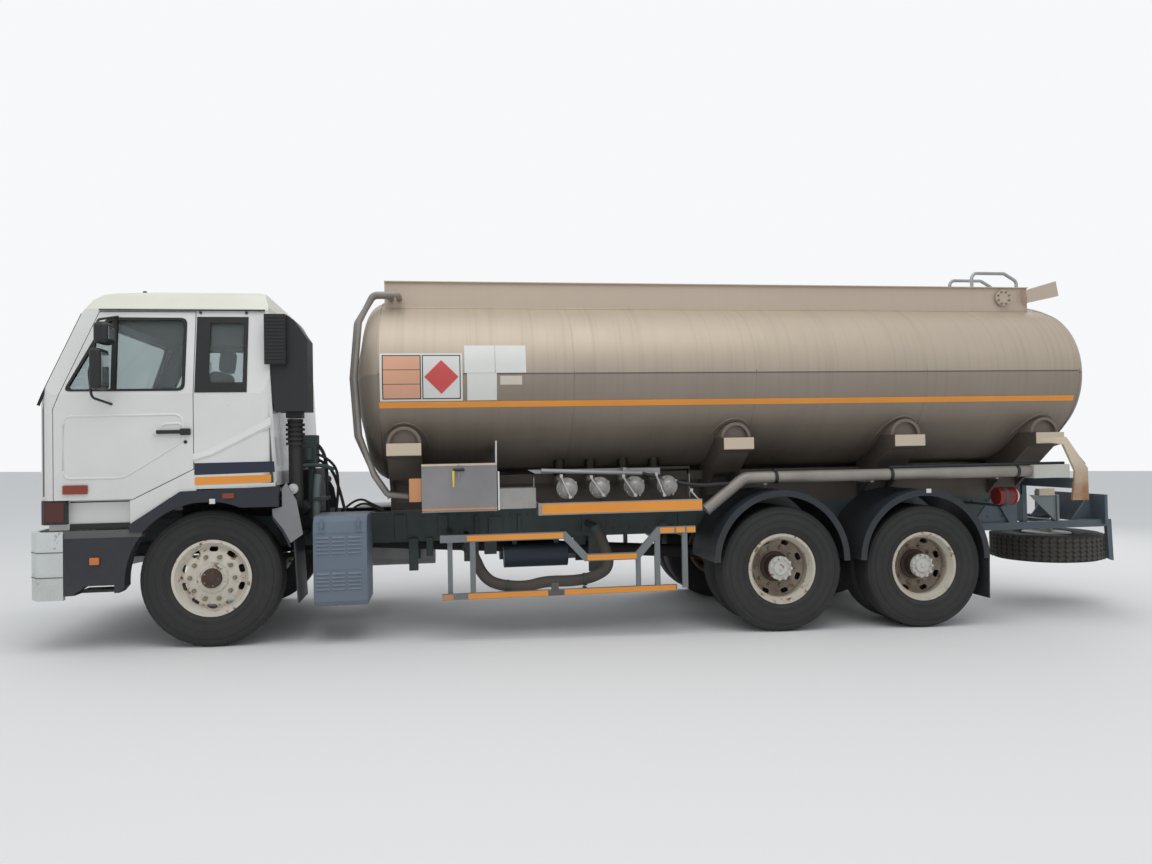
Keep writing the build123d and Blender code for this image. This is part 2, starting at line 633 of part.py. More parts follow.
def side_tanks():
    """Fuel tank on the right rail and two air reservoirs between the rails."""
    fuel = box(950, 1700, 560, 1170, 360, 960)
    fuel = fillet(fuel.edges().filter_by(Axis.X), 90)
    for x in (1050, 1560):
        fuel += box(x, x + 50, RAIL_HALF, 600, 780, 860)
    reservoir = rod((2320, -300, 520), (2900, -300, 520), 105)
    for x in (2400, 2780):
        reservoir += box(x, x + 40, -320, -280, 600, RAIL_BOTTOM + 1)
        reservoir += box(x, x + 40, -RAIL_HALF + 2, -280, RAIL_BOTTOM - 16, RAIL_BOTTOM)
    return fuel + reservoir + mirror(reservoir, about=Plane.XZ)


GUARD_Y = 1215
GUARD_DEPTH = 34


def side_guards():
    """Stepped guard rails between the axles; the right one starts behind the fuel tank."""
    guards = []
    for side, start in ((-1, 1752), (1, 2470)):
        upper = [(start, 778), (2755, 778), (2930, 589), (3362, 589), (3545, 792), (3858, 792)]
        lower = [(start + 10, 316), (3690, 316)]
        inner, outer = GUARD_Y - GUARD_DEPTH, GUARD_Y
        pieces = [side_plate(band(upper, 58), inner, outer), side_plate(band(lower, 48), inner, outer)]
        for x, top in ((start + 258, 790), (3530, 780), (3765, 790)):
            pieces.append(box(x - 22, x + 22, inner, outer - 4, 310, top))
        for x in (start + 78, 3765):
            pieces.append(box(x - 25, x + 25, RAIL_HALF, inner + 2, 740, 790))
        pieces.append(box(start + 58, start + 98, inner - 36, inner + 2, 310, 790))
        guard = joined(pieces)
        guards.append(guard if side > 0 else mirror(guard, about=Plane.XZ))
    return joined(guards)


FENDER_R = 600
FENDER_SKIN = 12
FENDER_LIP = 52
FENDER_Z = 598
FENDER_IN = 590
FENDER_OUT = 1245


# Each fender's name and how far behind its middle the arm stands
FENDER_ARMS = {"1": 0, "2": 230}


def rear_fenders():
    """Half-round fenders over the twin wheels, with a lip on the outer edge, and the flaps."""
    fenders = []
    for name, axle_x in REAR_AXLES:
        x = axle_x - 10
        ring = rod_y(x, FENDER_Z, FENDER_R, FENDER_IN, FENDER_OUT)
        ring -= rod_y(x, FENDER_Z, FENDER_R - FENDER_SKIN, FENDER_IN - 5, FENDER_OUT - FENDER_SKIN)
        ring -= rod_y(x, FENDER_Z, FENDER_R - FENDER_LIP, FENDER_IN - 5, FENDER_OUT + 5)
        ring -= box(x - 700, x + 700, 500, 1300, -50, FENDER_Z)
        along = FENDER_ARMS[name]
        inside = FENDER_R - FENDER_SKIN
        top = FENDER_Z + sqrt(inside * inside - (along + 20) ** 2)
        arm = box(x + along - 20, x + along + 20, RAIL_HALF, FENDER_IN + 30, top - 36, top + 3)
        fenders += [ring, arm]
    x = WHEELBASE + TANDEM - 10 + FENDER_R
    fenders.append(box(x - 12, x - 2, 660, FENDER_OUT, 250, FENDER_Z + 60))
    return both_sides(joined(fenders))


# Rear end

REAR_BAR = (TANK_REAR - 60, TANK_REAR + 6, 1040, 1130)
TOW_END = 8250
LADDER_Y = 300
SPARE = (7985, 0, 255)
SPARE_DISC = TYRE_WIDTH / 2 - RIM_WIDTH / 2 + 61


def rear_frame():
    """Lower tow frame behind the rails, its gussets, legs, coupling and the lamp bar."""
    outer = RAIL_HALF + 41
    side = [
        box(6850, TOW_END + 60, RAIL_HALF, outer, 612, 682),
        side_plate([(7090, RAIL_TOP - 10), (7330, RAIL_TOP - 10), (7330, 640), (7270, 640)],
                   RAIL_HALF, RAIL_HALF + 41),
        side_plate([(6850, 640), (7090, RAIL_TOP - 10), (7330, RAIL_TOP - 10), (7330, 640)],
                   RAIL_HALF, RAIL_HALF + 9),
        side_plate([(TOW_END + 72, 290), (TOW_END + 120, 270), (TOW_END + 105, 682), (TOW_END + 52, 682)],
                   RAIL_HALF, outer),
        side_plate([(TOW_END, 930), (TOW_END, 700), (8120, 682), (8050, 680)], 300, 316),
        side_plate([(7312, 1505), (7312, 1440), (7440, 1235), (7466, 935), (7540, 935), (7515, 1265)], 1158, 1180),
        box(8050, TOW_END + 10, 296, RAIL_HALF + 2, 660, 682),
        box(RAIL_REAR, REAR_BAR[1], RAIL_HALF - 60, RAIL_HALF + 2, RAIL_BOTTOM - 20, REAR_BAR[2] + 5),
    ]
    frame = [both_sides(joined(side))]
    frame.append(box(REAR_BAR[0], REAR_BAR[1], -1170, 1170, REAR_BAR[2], REAR_BAR[3]))
    frame.append(box(TOW_END, TOW_END + 30, -520, 520, 640, 930))
    frame.append(box(SPARE[0] - 40, SPARE[0] + 40, -RAIL_HALF - 2, RAIL_HALF + 2, 620, 660))
    frame.append(rod((SPARE[0], 0, SPARE[2] + SPARE_DISC + 5), (SPARE[0], 0, 625), 26))
    frame.append(rod((SPARE[0], 0, SPARE[2] + SPARE_DISC + 0.2), (SPARE[0], 0, SPARE[2] + SPARE_DISC + 14), 90))
    frame.append(coupling_jaw())
    return joined(frame)


COUPLING = (TOW_END + 30, 0, 760)
COUPLING_PIN_R = 25


def coupling_jaw():
    """Tow jaw: upper and lower lips with an open bore for the trailer's pin."""
    x, y, z = COUPLING
    jaw = [rod((x, y, z), (x + 40, y, z), 95)]
    for z0, z1 in ((38, 66), (-66, -38)):
        lip = box(x + 30, x + 140, -60, 60, z + z0, z + z1)
        lip += rod((x + 140, 0, z + z0), (x + 140, 0, z + z1), 60)
        jaw.append(lip)
    return joined(jaw) - rod((x + 140, 0, z - 80), (x + 140, 0, z + 80), COUPLING_PIN_R)


def spare_wheel():
    """Spare tyre and rim lying flat on its cradle."""
    x, y, z = SPARE
    flat = Pos(x, y, z + TYRE_WIDTH / 2) * Rot(90, 0, 0)
    wheel = tyre(0, 0, 0) + turned(rim_profile(-RIM_WIDTH / 2 + 45), 0, 0, 0)
    return flat * wheel


def ladder():
    """Rear ladder with hoops that lead onto the tank top."""
    rails = None
    for y in (LADDER_Y - 200, LADDER_Y + 200):
        run = [(7800, y, 1000), (7800, y, 3160), (7660, y, 3240), (7290, y, 3240), (7290, y, 2750)]
        tube = pipe(run, 60, 17)
        tube += rod((7800, y, 2970), (7290, y, 2970), 12)
        rails = tube if rails is None else rails + tube
    for i in range(7):
        rails += rod_y(7800, 1060 + i * 280, 14, LADDER_Y - 200, LADDER_Y + 200)
    for y in (LADDER_Y - 200, LADDER_Y + 200):
        rails += box(REAR_BAR[1], 7800, y - 14, y + 14, 1090, 1118)
    return rails - tank_space()


def lamps():
    """Head lamps in the bumper and rear lamp blocks on their brackets."""
    head = box(BUMPER_FRONT - 6, BUMPER_FRONT + 40, 640, 930, 600, 760)
    rear = box(REAR_BAR[1], REAR_BAR[1] + 42, 700, 1120, REAR_BAR[2] - 2, REAR_BAR[3] + 2)
    return both_sides(head + rear)


BUMPER_FRONT = -1330
BUMPER_LOW = 420
BUMPER_TOP = 930


def bumper():
    """Deep front bumper, bowed towards its middle, wrapped round the corners."""
    outer = [(-1030, -1235), (-1210, -1235), (-1290, -1130), (BUMPER_FRONT, -900), (BUMPER_FRONT, 900),
             (-1290, 1130), (-1210, 1235), (-1030, 1235)]
    inner = [(-1030, 1195), (-1195, 1195), (-1255, 1105), (BUMPER_FRONT + 40, 880),
             (BUMPER_FRONT + 40, -880), (-1255, -1105), (-1195, -1195), (-1030, -1195)]
    face = make_face(Polyline([(x, y, BUMPER_LOW) for x, y in outer + inner], close=True))
    shell = extrude(face, amount=BUMPER_TOP - BUMPER_LOW, dir=(0, 0, 1))
    for side in (-1, 1):
        arm = sorted((side * 390, side * 330))
        shell += box(BUMPER_FRONT + 38, RAIL_FRONT, arm[0], arm[1], 640, 900)
        pin = sorted((side * 282, side * 332))
        shell += rod_y(CAB_PIVOT[0], CAB_PIVOT[1], CAB_PIN_R, pin[0], pin[1])
        lamp = sorted((side * 639.5, side * 930.5))
        shell -= box(BUMPER_FRONT - 60, BUMPER_FRONT + 40.5, lamp[0], lamp[1], 599.5, 760.5)
        back = sorted((side * 620, side * 950))
        shell += box(BUMPER_FRONT + 40.5, BUMPER_FRONT + 60, back[0], back[1], 580, 780)
    shell -= box(BUMPER_FRONT - 10, BUMPER_FRONT + 60, -380, 380, 500, 580)
    return shell


ARCH_R = 600
PANEL_IN = 1100


def front_mudguards():
    """Lower side panels with their steps, and the guards behind the front wheels."""
    wheel = rod_y(0, AXLE_Z, ARCH_R, 600, 1300)
    outline = [(-1024, 450), (-1024, 905), (-440, 905), (-440, 700), (-636, 462)]
    panel = side_plate(outline, PANEL_IN, CAB_HALF)
    panel -= side_plate([(-950, 400), (-950, 470), (-880, 520), (-673, 520), (-673, 400)], PANEL_IN - 5, 1300)
    panel += box(-950, -680, 960, 1120, 455, 475)
    panel += box(-1000, -960, RAIL_HALF, PANEL_IN + 5, 700, 740)
    panel -= wheel
    guard = rod_y(0, AXLE_Z + 30, 640, 720, 1215) - rod_y(0, AXLE_Z + 30, 628, 700, 1230)
    guard &= box(0, 700, 600, 1300, 760, 1240)
    guard &= side_plate([(420, 1240), (470, 1030), (560, 760), (700, 760), (700, 1240)], 600, 1300)
    shield = side_plate([(470, 990), (470, 1060), (545, 1075), (545, 1215), (579, 1262), (654, 1120), (700, 856),
                         (604, 790), (560, 800)], 1205, 1215)
    guard += shield - rod_y(0, AXLE_Z + 30, 630, 1100, 1300)
    flap = side_plate(band([(631, 815), (657, 320)], 10), 740, 1204)
    guard += box(566, 645, RAIL_HALF, 768, 802, 840)
    return both_sides(panel + guard + flap)


# Cab

# Side outline (x, z), front outline (y, z) and plan (x, y) of the cab block
CAB_SIDE = [(CAB_FRONT, CAB_FLOOR), (CAB_FRONT, 1850), (-925, 2590), (-860, 2700), (-740, 2780), (-200, 2822),
            (300, 2815), (400, 2770), (440, 2650), (CAB_REAR, 1240), (CAB_REAR, CAB_FLOOR)]
CAB_HALF_FRONT = [(CAB_HALF, CAB_FLOOR), (CAB_HALF, BELT_Z), (EAVE_HALF, 2620), (1040, 2745), (850, 2800)]


def cab_block(inset):
    """Closed cab shape with its skin moved inwards by inset."""
    side = offset(side_face(CAB_SIDE), amount=-inset, kind=Kind.INTERSECTION) if inset else side_face(CAB_SIDE)
    block = extrude(side, amount=3000, both=True)
    full = CAB_HALF_FRONT + [(-y, z) for y, z in CAB_HALF_FRONT[::-1]]
    front = make_face(Polyline([(0, y, z) for y, z in full], close=True))
    front = offset(front, amount=-inset, kind=Kind.INTERSECTION) if inset else front
    block &= extrude(front, amount=3000, both=True)
    plan = Pos((CAB_FRONT + CAB_REAR) / 2, 0, 2000) * RectangleRounded(
        CAB_REAR - CAB_FRONT - 2 * inset, 2 * CAB_HALF - 2 * inset, 115 - inset)
    return block & extrude(plan, amount=2000, both=True)


DOOR_FRONT = -1090
DOOR_REAR = -100
# Door outline (x, z)
DOOR_OUTLINE = [(DOOR_FRONT, 1160), (-545, 1160), (DOOR_REAR, 1382), (DOOR_REAR, 2600), (-797, 2600),
                (DOOR_FRONT, 1850)]
DOOR_WINDOW = [(-1010, 1990), (-170, 1990), (-170, 2545), (-735, 2545)]
QUARTER_WINDOW = [(-60, 1990), (285, 1990), (262, 2535), (-60, 2535)]
PILLAR_FOOT = [(DOOR_FRONT, 900), (DOOR_FRONT, 1850), (-797, 2600), (-797, 3000), (-2000, 3000), (-2000, 900)]


def grown(points, amount):
    """Outline moved outwards (or inwards when negative)."""
    return offset(side_face(points), amount=amount, kind=Kind.INTERSECTION)


def through(face, half=3000):
    """Cutter of the face's outline right across the truck."""
    return extrude(face, amount=half, both=True)


def side_walls(thickness):
    """Both side walls of the cab, bent inwards above the belt line."""
    return cab_block(0) - cab_block_sides(thickness)


def cab_block_sides(thickness):
    """Space between the side walls."""
    half = [(y - thickness, z) for y, z in CAB_HALF_FRONT[:3]] + [(EAVE_HALF - thickness, 3000)]
    half = [(half[0][0], 900)] + half[1:]
    full = half + [(-y, z) for y, z in half[::-1]]
    face = make_face(Polyline([(-2000, y, z) for y, z in full], close=True))
    return extrude(face, amount=4000, dir=(1, 0, 0))


def door(side):
    """Cab door with its window opening and pull handle."""
    leaf = side_walls(DOOR_WALL) & through(side_face(DOOR_OUTLINE))
    leaf -= through(side_face(DOOR_WINDOW))
    keep = box(-2000, 2000, min(0, side * 2000), max(0, side * 2000), 0, 4000)
    leaf &= keep
    y0, y1 = sorted((side * (CAB_HALF - 2), side * (CAB_HALF + 22)))
    leaf += box(-385, -150, y0, y1, 1655, 1680)
    return leaf


def door_glass(side):
    """Pane seated against the inner side of the window opening."""
    inner = cab_block_sides(DOOR_WALL / 2) - cab_block_sides(DOOR_WALL / 2 + 6)
    pane = inner & through(grown(DOOR_WINDOW, -0.3))
    y0, y1 = sorted((0, side * 2000))
    return pane & box(-2000, 2000, y0, y1, 0, 4000)


def cab_parts():
    """Front, roof and rear shell cut from one hollow cab at the real panel joints."""
    hollow = cab_block(0) - cab_block(CAB_WALL)
    roof = hollow & box(-2000, 2000, -2000, 2000, RAIL_Z, 3500)
    gutter = box(-800, 420, EAVE_HALF - 12, EAVE_HALF + 14, RAIL_Z, RAIL_Z + 14)
    roof += both_sides(gutter)
    below = hollow & box(-2000, 2000, -2000, 2000, 900, RAIL_Z)
    ahead = through(side_face(PILLAR_FOOT))
    doorway = through(grown(DOOR_OUTLINE, DOOR_GAP)) & (side_walls_space(DOOR_WALL + 12))
    front = (below & ahead) - doorway
    rear = below - ahead - doorway
    front -= box(FLOOR_FRONT, DOOR_FRONT + 50, -1100, 1100, CAB_FLOOR - 5, CAB_FLOOR + CAB_WALL + 5)
    return front, roof, rear


def side_walls_space(depth):
    """Everything outside the inner faces of the side walls."""
    slab = box(-3000, 3000, -3000, 3000, 0, 4000)
    return slab - cab_block_sides(depth)


# Windscreen opening (y, z) and the slope of the front above the belt
WINDSCREEN = [(-1080, 1990), (1080, 1990), (1000, 2550), (-1000, 2550)]


def screen_x(z):
    """Middle of the front wall at height z."""
    (x0, z0), (x1, z1) = CAB_SIDE[1:3]
    slope = (x1 - x0) / (z1 - z0)
    return x0 + slope * (z - z0) + CAB_WALL / 2 * hypot(1, slope)


def cab_front():
    front = CAB_FRONT_BLOCK
    front -= front_plate(WINDSCREEN, -1500, -850)
    lower = box(CAB_FRONT, CAB_FRONT + 40, -1120, 1120, 975, CAB_FLOOR)
    front += lower
    x, z = CAB_PIVOT
    lug = side_plate([(x, z - 35), (x + 215, z - 35), (x + 215, CAB_FLOOR), (x + 150, CAB_FLOOR),
                      (x + 150, z + 35), (x, z + 35)], 284, 320)
    lug += rod_y(x, z, 35, 284, 320)
    lug += box(CAB_FRONT + 15, x + 215, 284, 320, CAB_FLOOR - 60, CAB_FLOOR)
    lug += box(CAB_FRONT + 15, FLOOR_FRONT - 2, 284, 320, CAB_FLOOR - 60, CAB_FLOOR + 2)
    lug -= rod_y(x, z, CAB_PIN_R + 0.05, 270, 330)
    front += both_sides(lug)
    recess = box(CAB_FRONT - 5, CAB_FRONT + 22, -820, 820, 1270, 1640)
    front -= recess
    for i in range(6):
        z = 1290 + i * 58
        front += box(CAB_FRONT + 3, CAB_FRONT + 24, -822, 822, z, z + 26)
    return front


QUARTER_LOW = 1240
# Outline (x, z) of the dark flare over the front wheel
FLARE = [(-560, 912), (-560, 972), (-195, 1212), (525, 1236), (525, 1078), (-240, 1078), (-470, 912)]


def cab_shell():
    shell = CAB_REAR_BLOCK
    shell -= through(side_face(QUARTER_WINDOW))
    shell -= box(350, 600, -900, 900, 2110, 2540)
    shell -= box(DOOR_REAR + 20, 600, -1300, 1300, 1100, QUARTER_LOW)
    tunnel = box(-900, 600, -430, 430, 1100, 1400)
    cover = box(-930, 505, -475, 475, CAB_FLOOR, 1445)
    floor = box(FLOOR_FRONT, DOOR_REAR + 25, -1100, 1100, CAB_FLOOR, CAB_FLOOR + CAB_WALL)
    shell += floor + box(DOOR_REAR, 500, -1180, 1180, QUARTER_LOW, QUARTER_LOW + CAB_WALL) + cover
    shell += box(DOOR_REAR, DOOR_REAR + 40, -1180, 1180, CAB_FLOOR, 1260)
    shell -= tunnel
    fender = side_plate([(-555, 975), (-555, 1150), (-545, 1152), (DOOR_REAR - 4, 1374), (DOOR_REAR - 4, 1222),
                         (-195, 1218)], 1175, CAB_HALF)
    recess = box(-1150, -565, 1128, 1168, 938, CAB_FLOOR)
    rib = box(-575, -540, 1100, 1180, 980, CAB_FLOOR + 2)
    shell += both_sides(fender + recess + rib)
    return shell - both_sides(side_plate(FLARE, 1176, 1300))


def cab_glass():
    """Windscreen, rear window and the two quarter windows."""
    screen = side_plate(band([(screen_x(1950), 1950), (screen_x(2600), 2600)], 7), -1200, 1200)
    opening = offset(make_face(Polyline([(0, y, z) for y, z in WINDSCREEN], close=True)), amount=-0.3,
                     kind=Kind.INTERSECTION)
    screen &= extrude(opening, amount=3000, both=True)
    rear = side_plate(band([(447, 2110.3), (428, 2539.7)], 6), -899.7, 899.7)
    wall = cab_block_sides(20) - cab_block_sides(26)
    quarters = wall & through(grown(QUARTER_WINDOW, -0.3))
    return screen + rear + quarters


def wheel_flares():
    """Dark flares over the front wheels, with the roof of the wheel house."""
    flare = side_plate(FLARE, 1176, 1252)
    flare -= rod_y(0, AXLE_Z, ARCH_R, 1000, 1300)
    house = box(-300, 525, 700, 1180, 1120, 1130)
    flare += house
    return both_sides(flare)


def cab_lamps():
    """Corner lamps under the cab front, stepped round the panel behind them."""
    outline = [(CAB_FRONT + 20, 1121), (CAB_FRONT + 20, 1200), (CAB_FRONT + 48, 1228), (-1012, 1228), (-1012, 1169),
               (-1151, 1169), (-1151, 1121)]
    face = make_face(Polyline([(x, y, 985) for x, y in outline], close=True))
    return both_sides(extrude(face, amount=CAB_FLOOR - 985, dir=(0, 0, 1)))


def seats():
    seat = None
    for y in (-680, 680):
        base = box(-560, -120, y - 200, y + 200, 1330, 1560) + box(-500, -180, y - 150, y + 150, 1210, 1330)
        back = side_plate([(-170, 1560), (-60, 1560), (60, 2140), (-30, 2150)], y - 210, y + 210)
        head = side_plate([(-10, 2170), (70, 2170), (90, 2330), (10, 2330)], y - 120, y + 120)
        stem = side_plate([(10, 2120), (40, 2120), (60, 2190), (30, 2190)], y - 30, y + 30)
        one = base + back + head + stem
        seat = one if seat is None else seat + one
    return seat


def dashboard():
    front = CAB_FRONT + CAB_WALL
    desk = side_plate([(front, 1500), (front, 1835), (-990, 1880), (-910, 1780), (-940, 1500)], -1080, 1080)
    x, y, z = -800, 680, 1900
    tilt = Pos(x, y, z) * Rot(0, -55, 0)
    wheel = tilt * (Torus(225, 15) + Cylinder(50, 40) + Box(20, 440, 18) + Pos(110, 0, 0) * Box(220, 40, 18))
    column = rod((x, y, z), (-960, y, 1780), 28)
    return desk + wheel + column


DUCT_X = 615
DUCT_Y = -980
DUCT_TOP = 1762
# Side outline (x, z) of the intake box
INTAKE_SIDE = [(440, 2575), (590, 2575), (648, 2531), (745, 2385), (745, 1817), (493, 1817), (440, 2180)]


def air_intake():
    """Air intake on the cab's rear corner: louvred head, box and down pipe."""
    head = side_plate(INTAKE_SIDE, -1190, -880)
    head += box(430, 590, -1245, -1238, 2180, 2572)
    head += box(560, 590, -1245, -1150, 2180, 2572)
    for i in range(14):
        z = 2192 + i * 27
        head += box(438, 582, -1251, -1244, z, z + 13)
    head += box(DUCT_X - 60, DUCT_X + 60, DUCT_Y - 80, DUCT_Y + 80, DUCT_TOP + 8, 1820)
    return head - cab_block(0)


def air_duct():
    """Bellows and lower air duct on the chassis."""
    duct = rod((DUCT_X, DUCT_Y, DUCT_TOP - 20), (DUCT_X, DUCT_Y, DUCT_TOP), 62)
    for i in range(5):
        z = DUCT_TOP - 208 + i * 38
        duct += rod((DUCT_X, DUCT_Y, z), (DUCT_X, DUCT_Y, z + 20), 74)
        duct += rod((DUCT_X, DUCT_Y, z + 19), (DUCT_X, DUCT_Y, z + 39), 58)
    duct += pipe([(DUCT_X, DUCT_Y, DUCT_TOP - 205), (DUCT_X, DUCT_Y, 1090), (DUCT_X, -760, 1030),
                  (DUCT_X, -ENGINE[2] - 0.5, 1030)], 60, 55)
    return duct


MIRROR_ARM_R = 9


# Mirror heads: x0, x1, half width, z0 and z1
MIRROR_HEADS = [(-748, -665, 100, 1982, 2283), (-722, -618, 92, 2315, 2478)]
MIRROR_TOP = 2565
MIRROR_FOOT = 14


def mirrors(side):
    """Two mirror heads on a bent arm carried by the door."""
    y = side * 1400
    lean = (CAB_HALF - EAVE_HALF) / (2620 - BELT_Z)
    top_face = CAB_HALF - lean * (MIRROR_TOP - BELT_Z) - MIRROR_FOOT
    run = [(-665, side * top_face, MIRROR_TOP), (-715, y, 2500), (-735, y, 2300), (-778, y, 2110), (-760, y, 1925),
           (-675, side * (CAB_HALF - MIRROR_FOOT), 1880)]
    arm = pipe(run, 40, MIRROR_ARM_R) - cab_block(0)
    for x0, x1, half, z0, z1 in MIRROR_HEADS:
        arm += fillet(box(x0, x1, y - half, y + half, z0, z1).edges(), (x1 - x0) * 0.36)
    return arm


CAB_FRONT_BLOCK, CAB_ROOF_BLOCK, CAB_REAR_BLOCK = cab_parts()

GROUND_NODES = {
    "front_axle": front_axle(),
    "rear_axles": rear_axles(),
    "rear_fenders": rear_fenders(),
    "track_rod": track_rod(),
}
for side_name, side in SIDES:
    GROUND_NODES["knuckle_" + side_name] = knuckle(side)
    GROUND_NODES["rim_front_" + side_name] = front_wheel(side)
    GROUND_NODES["tyre_front_" + side_name] = tyre(0, side * FRONT_TRACK_HALF, AXLE_Z)
    for axle_name, axle_x in REAR_AXLES:
        label = axle_name + "_" + side_name
        GROUND_NODES["rims_rear_" + label] = rear_wheels(axle_x, side)
        GROUND_NODES["tyres_rear_" + label] = (
            tyre(axle_x, side * REAR_OUTER_HALF, AXLE_Z) + tyre(axle_x, side * REAR_INNER_HALF, AXLE_Z))

CHASSIS_NODES = {
    "chassis_frame": chassis_frame(),
    "engine_block": engine_block(),
    "tank_shell": tank_shell(),
    "tank_bearers": tank_bearers(),
    "tank_coaming": tank_coaming(),
    "manhole_rings": manhole_rings(),
    "tank_pipes": tank_pipes(),
    "outlets": outlets(),
    "locker": locker(),
    "locker_door": locker_door(),
    "battery_box": battery_box(),
    "side_tanks": side_tanks(),
    "side_guards": side_guards(),
    "front_mudguards": front_mudguards(),
    "bumper": bumper(),
    "lamps": lamps(),
    "rear_frame": rear_frame(),
    "spare_wheel": spare_wheel(),
    "ladder": ladder(),
    "air_duct": air_duct(),
    "cab_front": cab_front(),
    "cab_roof": CAB_ROOF_BLOCK,
    "cab_shell": cab_shell(),
    "cab_glass": cab_glass(),
    "wheel_flares": wheel_flares(),
    "cab_lamps": cab_lamps(),
    "seats": seats(),
    "dashboard": dashboard(),
    "air_intake": air_intake(),
}
for number, lid_x in enumerate(MANHOLES, start=1):
    CHASSIS_NODES["manhole_lid_" + str(number)] = manhole_lid(lid_x)
for side_name, side in SIDES:
    CHASSIS_NODES["door_" + side_name] = door(side)
    CHASSIS_NODES["door_glass_" + side_name] = door_glass(side)
    CHASSIS_NODES["mirrors_" + side_name] = mirrors(side)

NODES = dict(GROUND_NODES)
for name, shape in CHASSIS_NODES.items():
    NODES[name] = on_road(shape)

# The origin is under the middle of the truck's box, on the road
BOXES = [shape.bounding_box() for shape in NODES.values()]
MIDDLE_X = (min(b.min.X for b in BOXES) + max(b.max.X for b in BOXES)) / 2

os.makedirs("parts", exist_ok=True)
for name, shape in NODES.items():
    export_step(Pos(-MIDDLE_X, 0, 0) * shape, "parts/" + name + ".step")
print("nodes", len(NODES), "origin shift", round(-MIDDLE_X, 3))
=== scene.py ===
# %% [markdown]
# This lesson dresses a three-axle tanker truck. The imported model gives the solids
# and what they ride on; everything here is added in the same frame, in metres,
# so a nut goes where the wheel already is. The front of the truck faces -X and
# the side towards the camera faces -Y.

# %% Load the frame
from math import cos, hypot, pi, radians, sin

import bmesh
import bpy
from mathutils import Matrix, Vector


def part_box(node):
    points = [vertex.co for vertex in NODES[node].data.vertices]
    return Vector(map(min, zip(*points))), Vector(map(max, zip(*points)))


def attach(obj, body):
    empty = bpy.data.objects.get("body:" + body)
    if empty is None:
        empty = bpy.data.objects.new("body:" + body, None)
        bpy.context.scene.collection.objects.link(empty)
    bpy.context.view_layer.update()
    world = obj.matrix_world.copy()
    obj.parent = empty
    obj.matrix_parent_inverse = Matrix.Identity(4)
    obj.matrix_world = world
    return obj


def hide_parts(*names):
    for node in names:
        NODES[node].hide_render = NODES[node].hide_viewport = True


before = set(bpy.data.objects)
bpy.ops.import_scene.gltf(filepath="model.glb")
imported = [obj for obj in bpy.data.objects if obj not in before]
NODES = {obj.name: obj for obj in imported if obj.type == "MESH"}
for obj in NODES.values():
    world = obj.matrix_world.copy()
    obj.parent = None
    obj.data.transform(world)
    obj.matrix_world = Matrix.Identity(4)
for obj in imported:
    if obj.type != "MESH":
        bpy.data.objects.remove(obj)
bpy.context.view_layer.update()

# %% [markdown]
# The empty truck stands a little nose down. Pieces on its chassis and cab are
# drawn level, with x measured from the front axle, and one matrix tilts them
# into place. Pieces on the wheels use a second matrix that only shifts them.

# %% Places on the truck
RAKE = radians(1.25)
AXLE_Z = 0.53
SEAM_Z = 2.100
BELT_Z = 1.96
SCREEN_FOOT_Z = 1.85
WHEELBASE = 4.618
TANDEM = 1.3
FRONT_TRACK_HALF = 1.02
REAR_OUTER_HALF = 1.078
REAR_INNER_HALF = 0.752
SIDES = {"left": -1, "right": 1}
REAR_AXLES = {"1": WHEELBASE, "2": WHEELBASE + TANDEM}

tyre_low, tyre_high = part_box("tyre_front_left")
FRONT_AXLE_X = (tyre_low.x + tyre_high.x) / 2
TO_ROAD = Matrix.Translation((FRONT_AXLE_X, 0, 0))
TO_CHASSIS = (
    TO_ROAD
    @ Matrix.Translation((0, 0, AXLE_Z))
    @ Matrix.Rotation(-RAKE, 4, "Y")
    @ Matrix.Translation((0, 0, -AXLE_Z))
)
print("front axle at x", round(FRONT_AXLE_X, 4))

# %% [markdown]
# The camera stands where the photographer stood: seven metres from the near
# side, a metre and a half up, turned a little towards the rear and tipped slightly up.
# Its axes are built from the turn, the tip and a small roll.

# %% Camera
CAMERA_PLACE = Vector((1.751 + FRONT_AXLE_X, -8.296, 1.515))
CAMERA_YAW = radians(8.75)
CAMERA_PITCH = radians(1.32)
CAMERA_ROLL = radians(0.149)
LENS_MM = 27.37


def camera_turn(yaw, pitch, roll):
    """Matrix whose columns are the camera's right, up and back."""
    ahead = Vector((sin(yaw) * cos(pitch), cos(yaw) * cos(pitch), sin(pitch)))
    level = Vector((cos(yaw), -sin(yaw), 0))
    lift = level.cross(ahead)
    right = level * cos(roll) + lift * sin(roll)
    up = lift * cos(roll) - level * sin(roll)
    return Matrix((right, up, -ahead)).transposed().to_4x4()


camera_data = bpy.data.cameras.new("camera")
camera_data.sensor_width = 36
camera_data.lens = LENS_MM
camera_data.clip_end = 200
camera = bpy.data.objects.new("camera", camera_data)
turned = camera_turn(CAMERA_YAW, CAMERA_PITCH, CAMERA_ROLL)
camera.matrix_world = Matrix.Translation(CAMERA_PLACE) @ turned
bpy.context.scene.collection.objects.link(camera)
bpy.context.scene.camera = camera

# %% [markdown]
# A cloudy day lights the real truck evenly. A pale world does most of that work,
# one large lamp overhead gives the soft shadow under the chassis, a weaker one
# fills the far rear side, and the floor is a plain pale sheet. The camera and
# rays through glass see a brighter sky than the one that lights the truck.

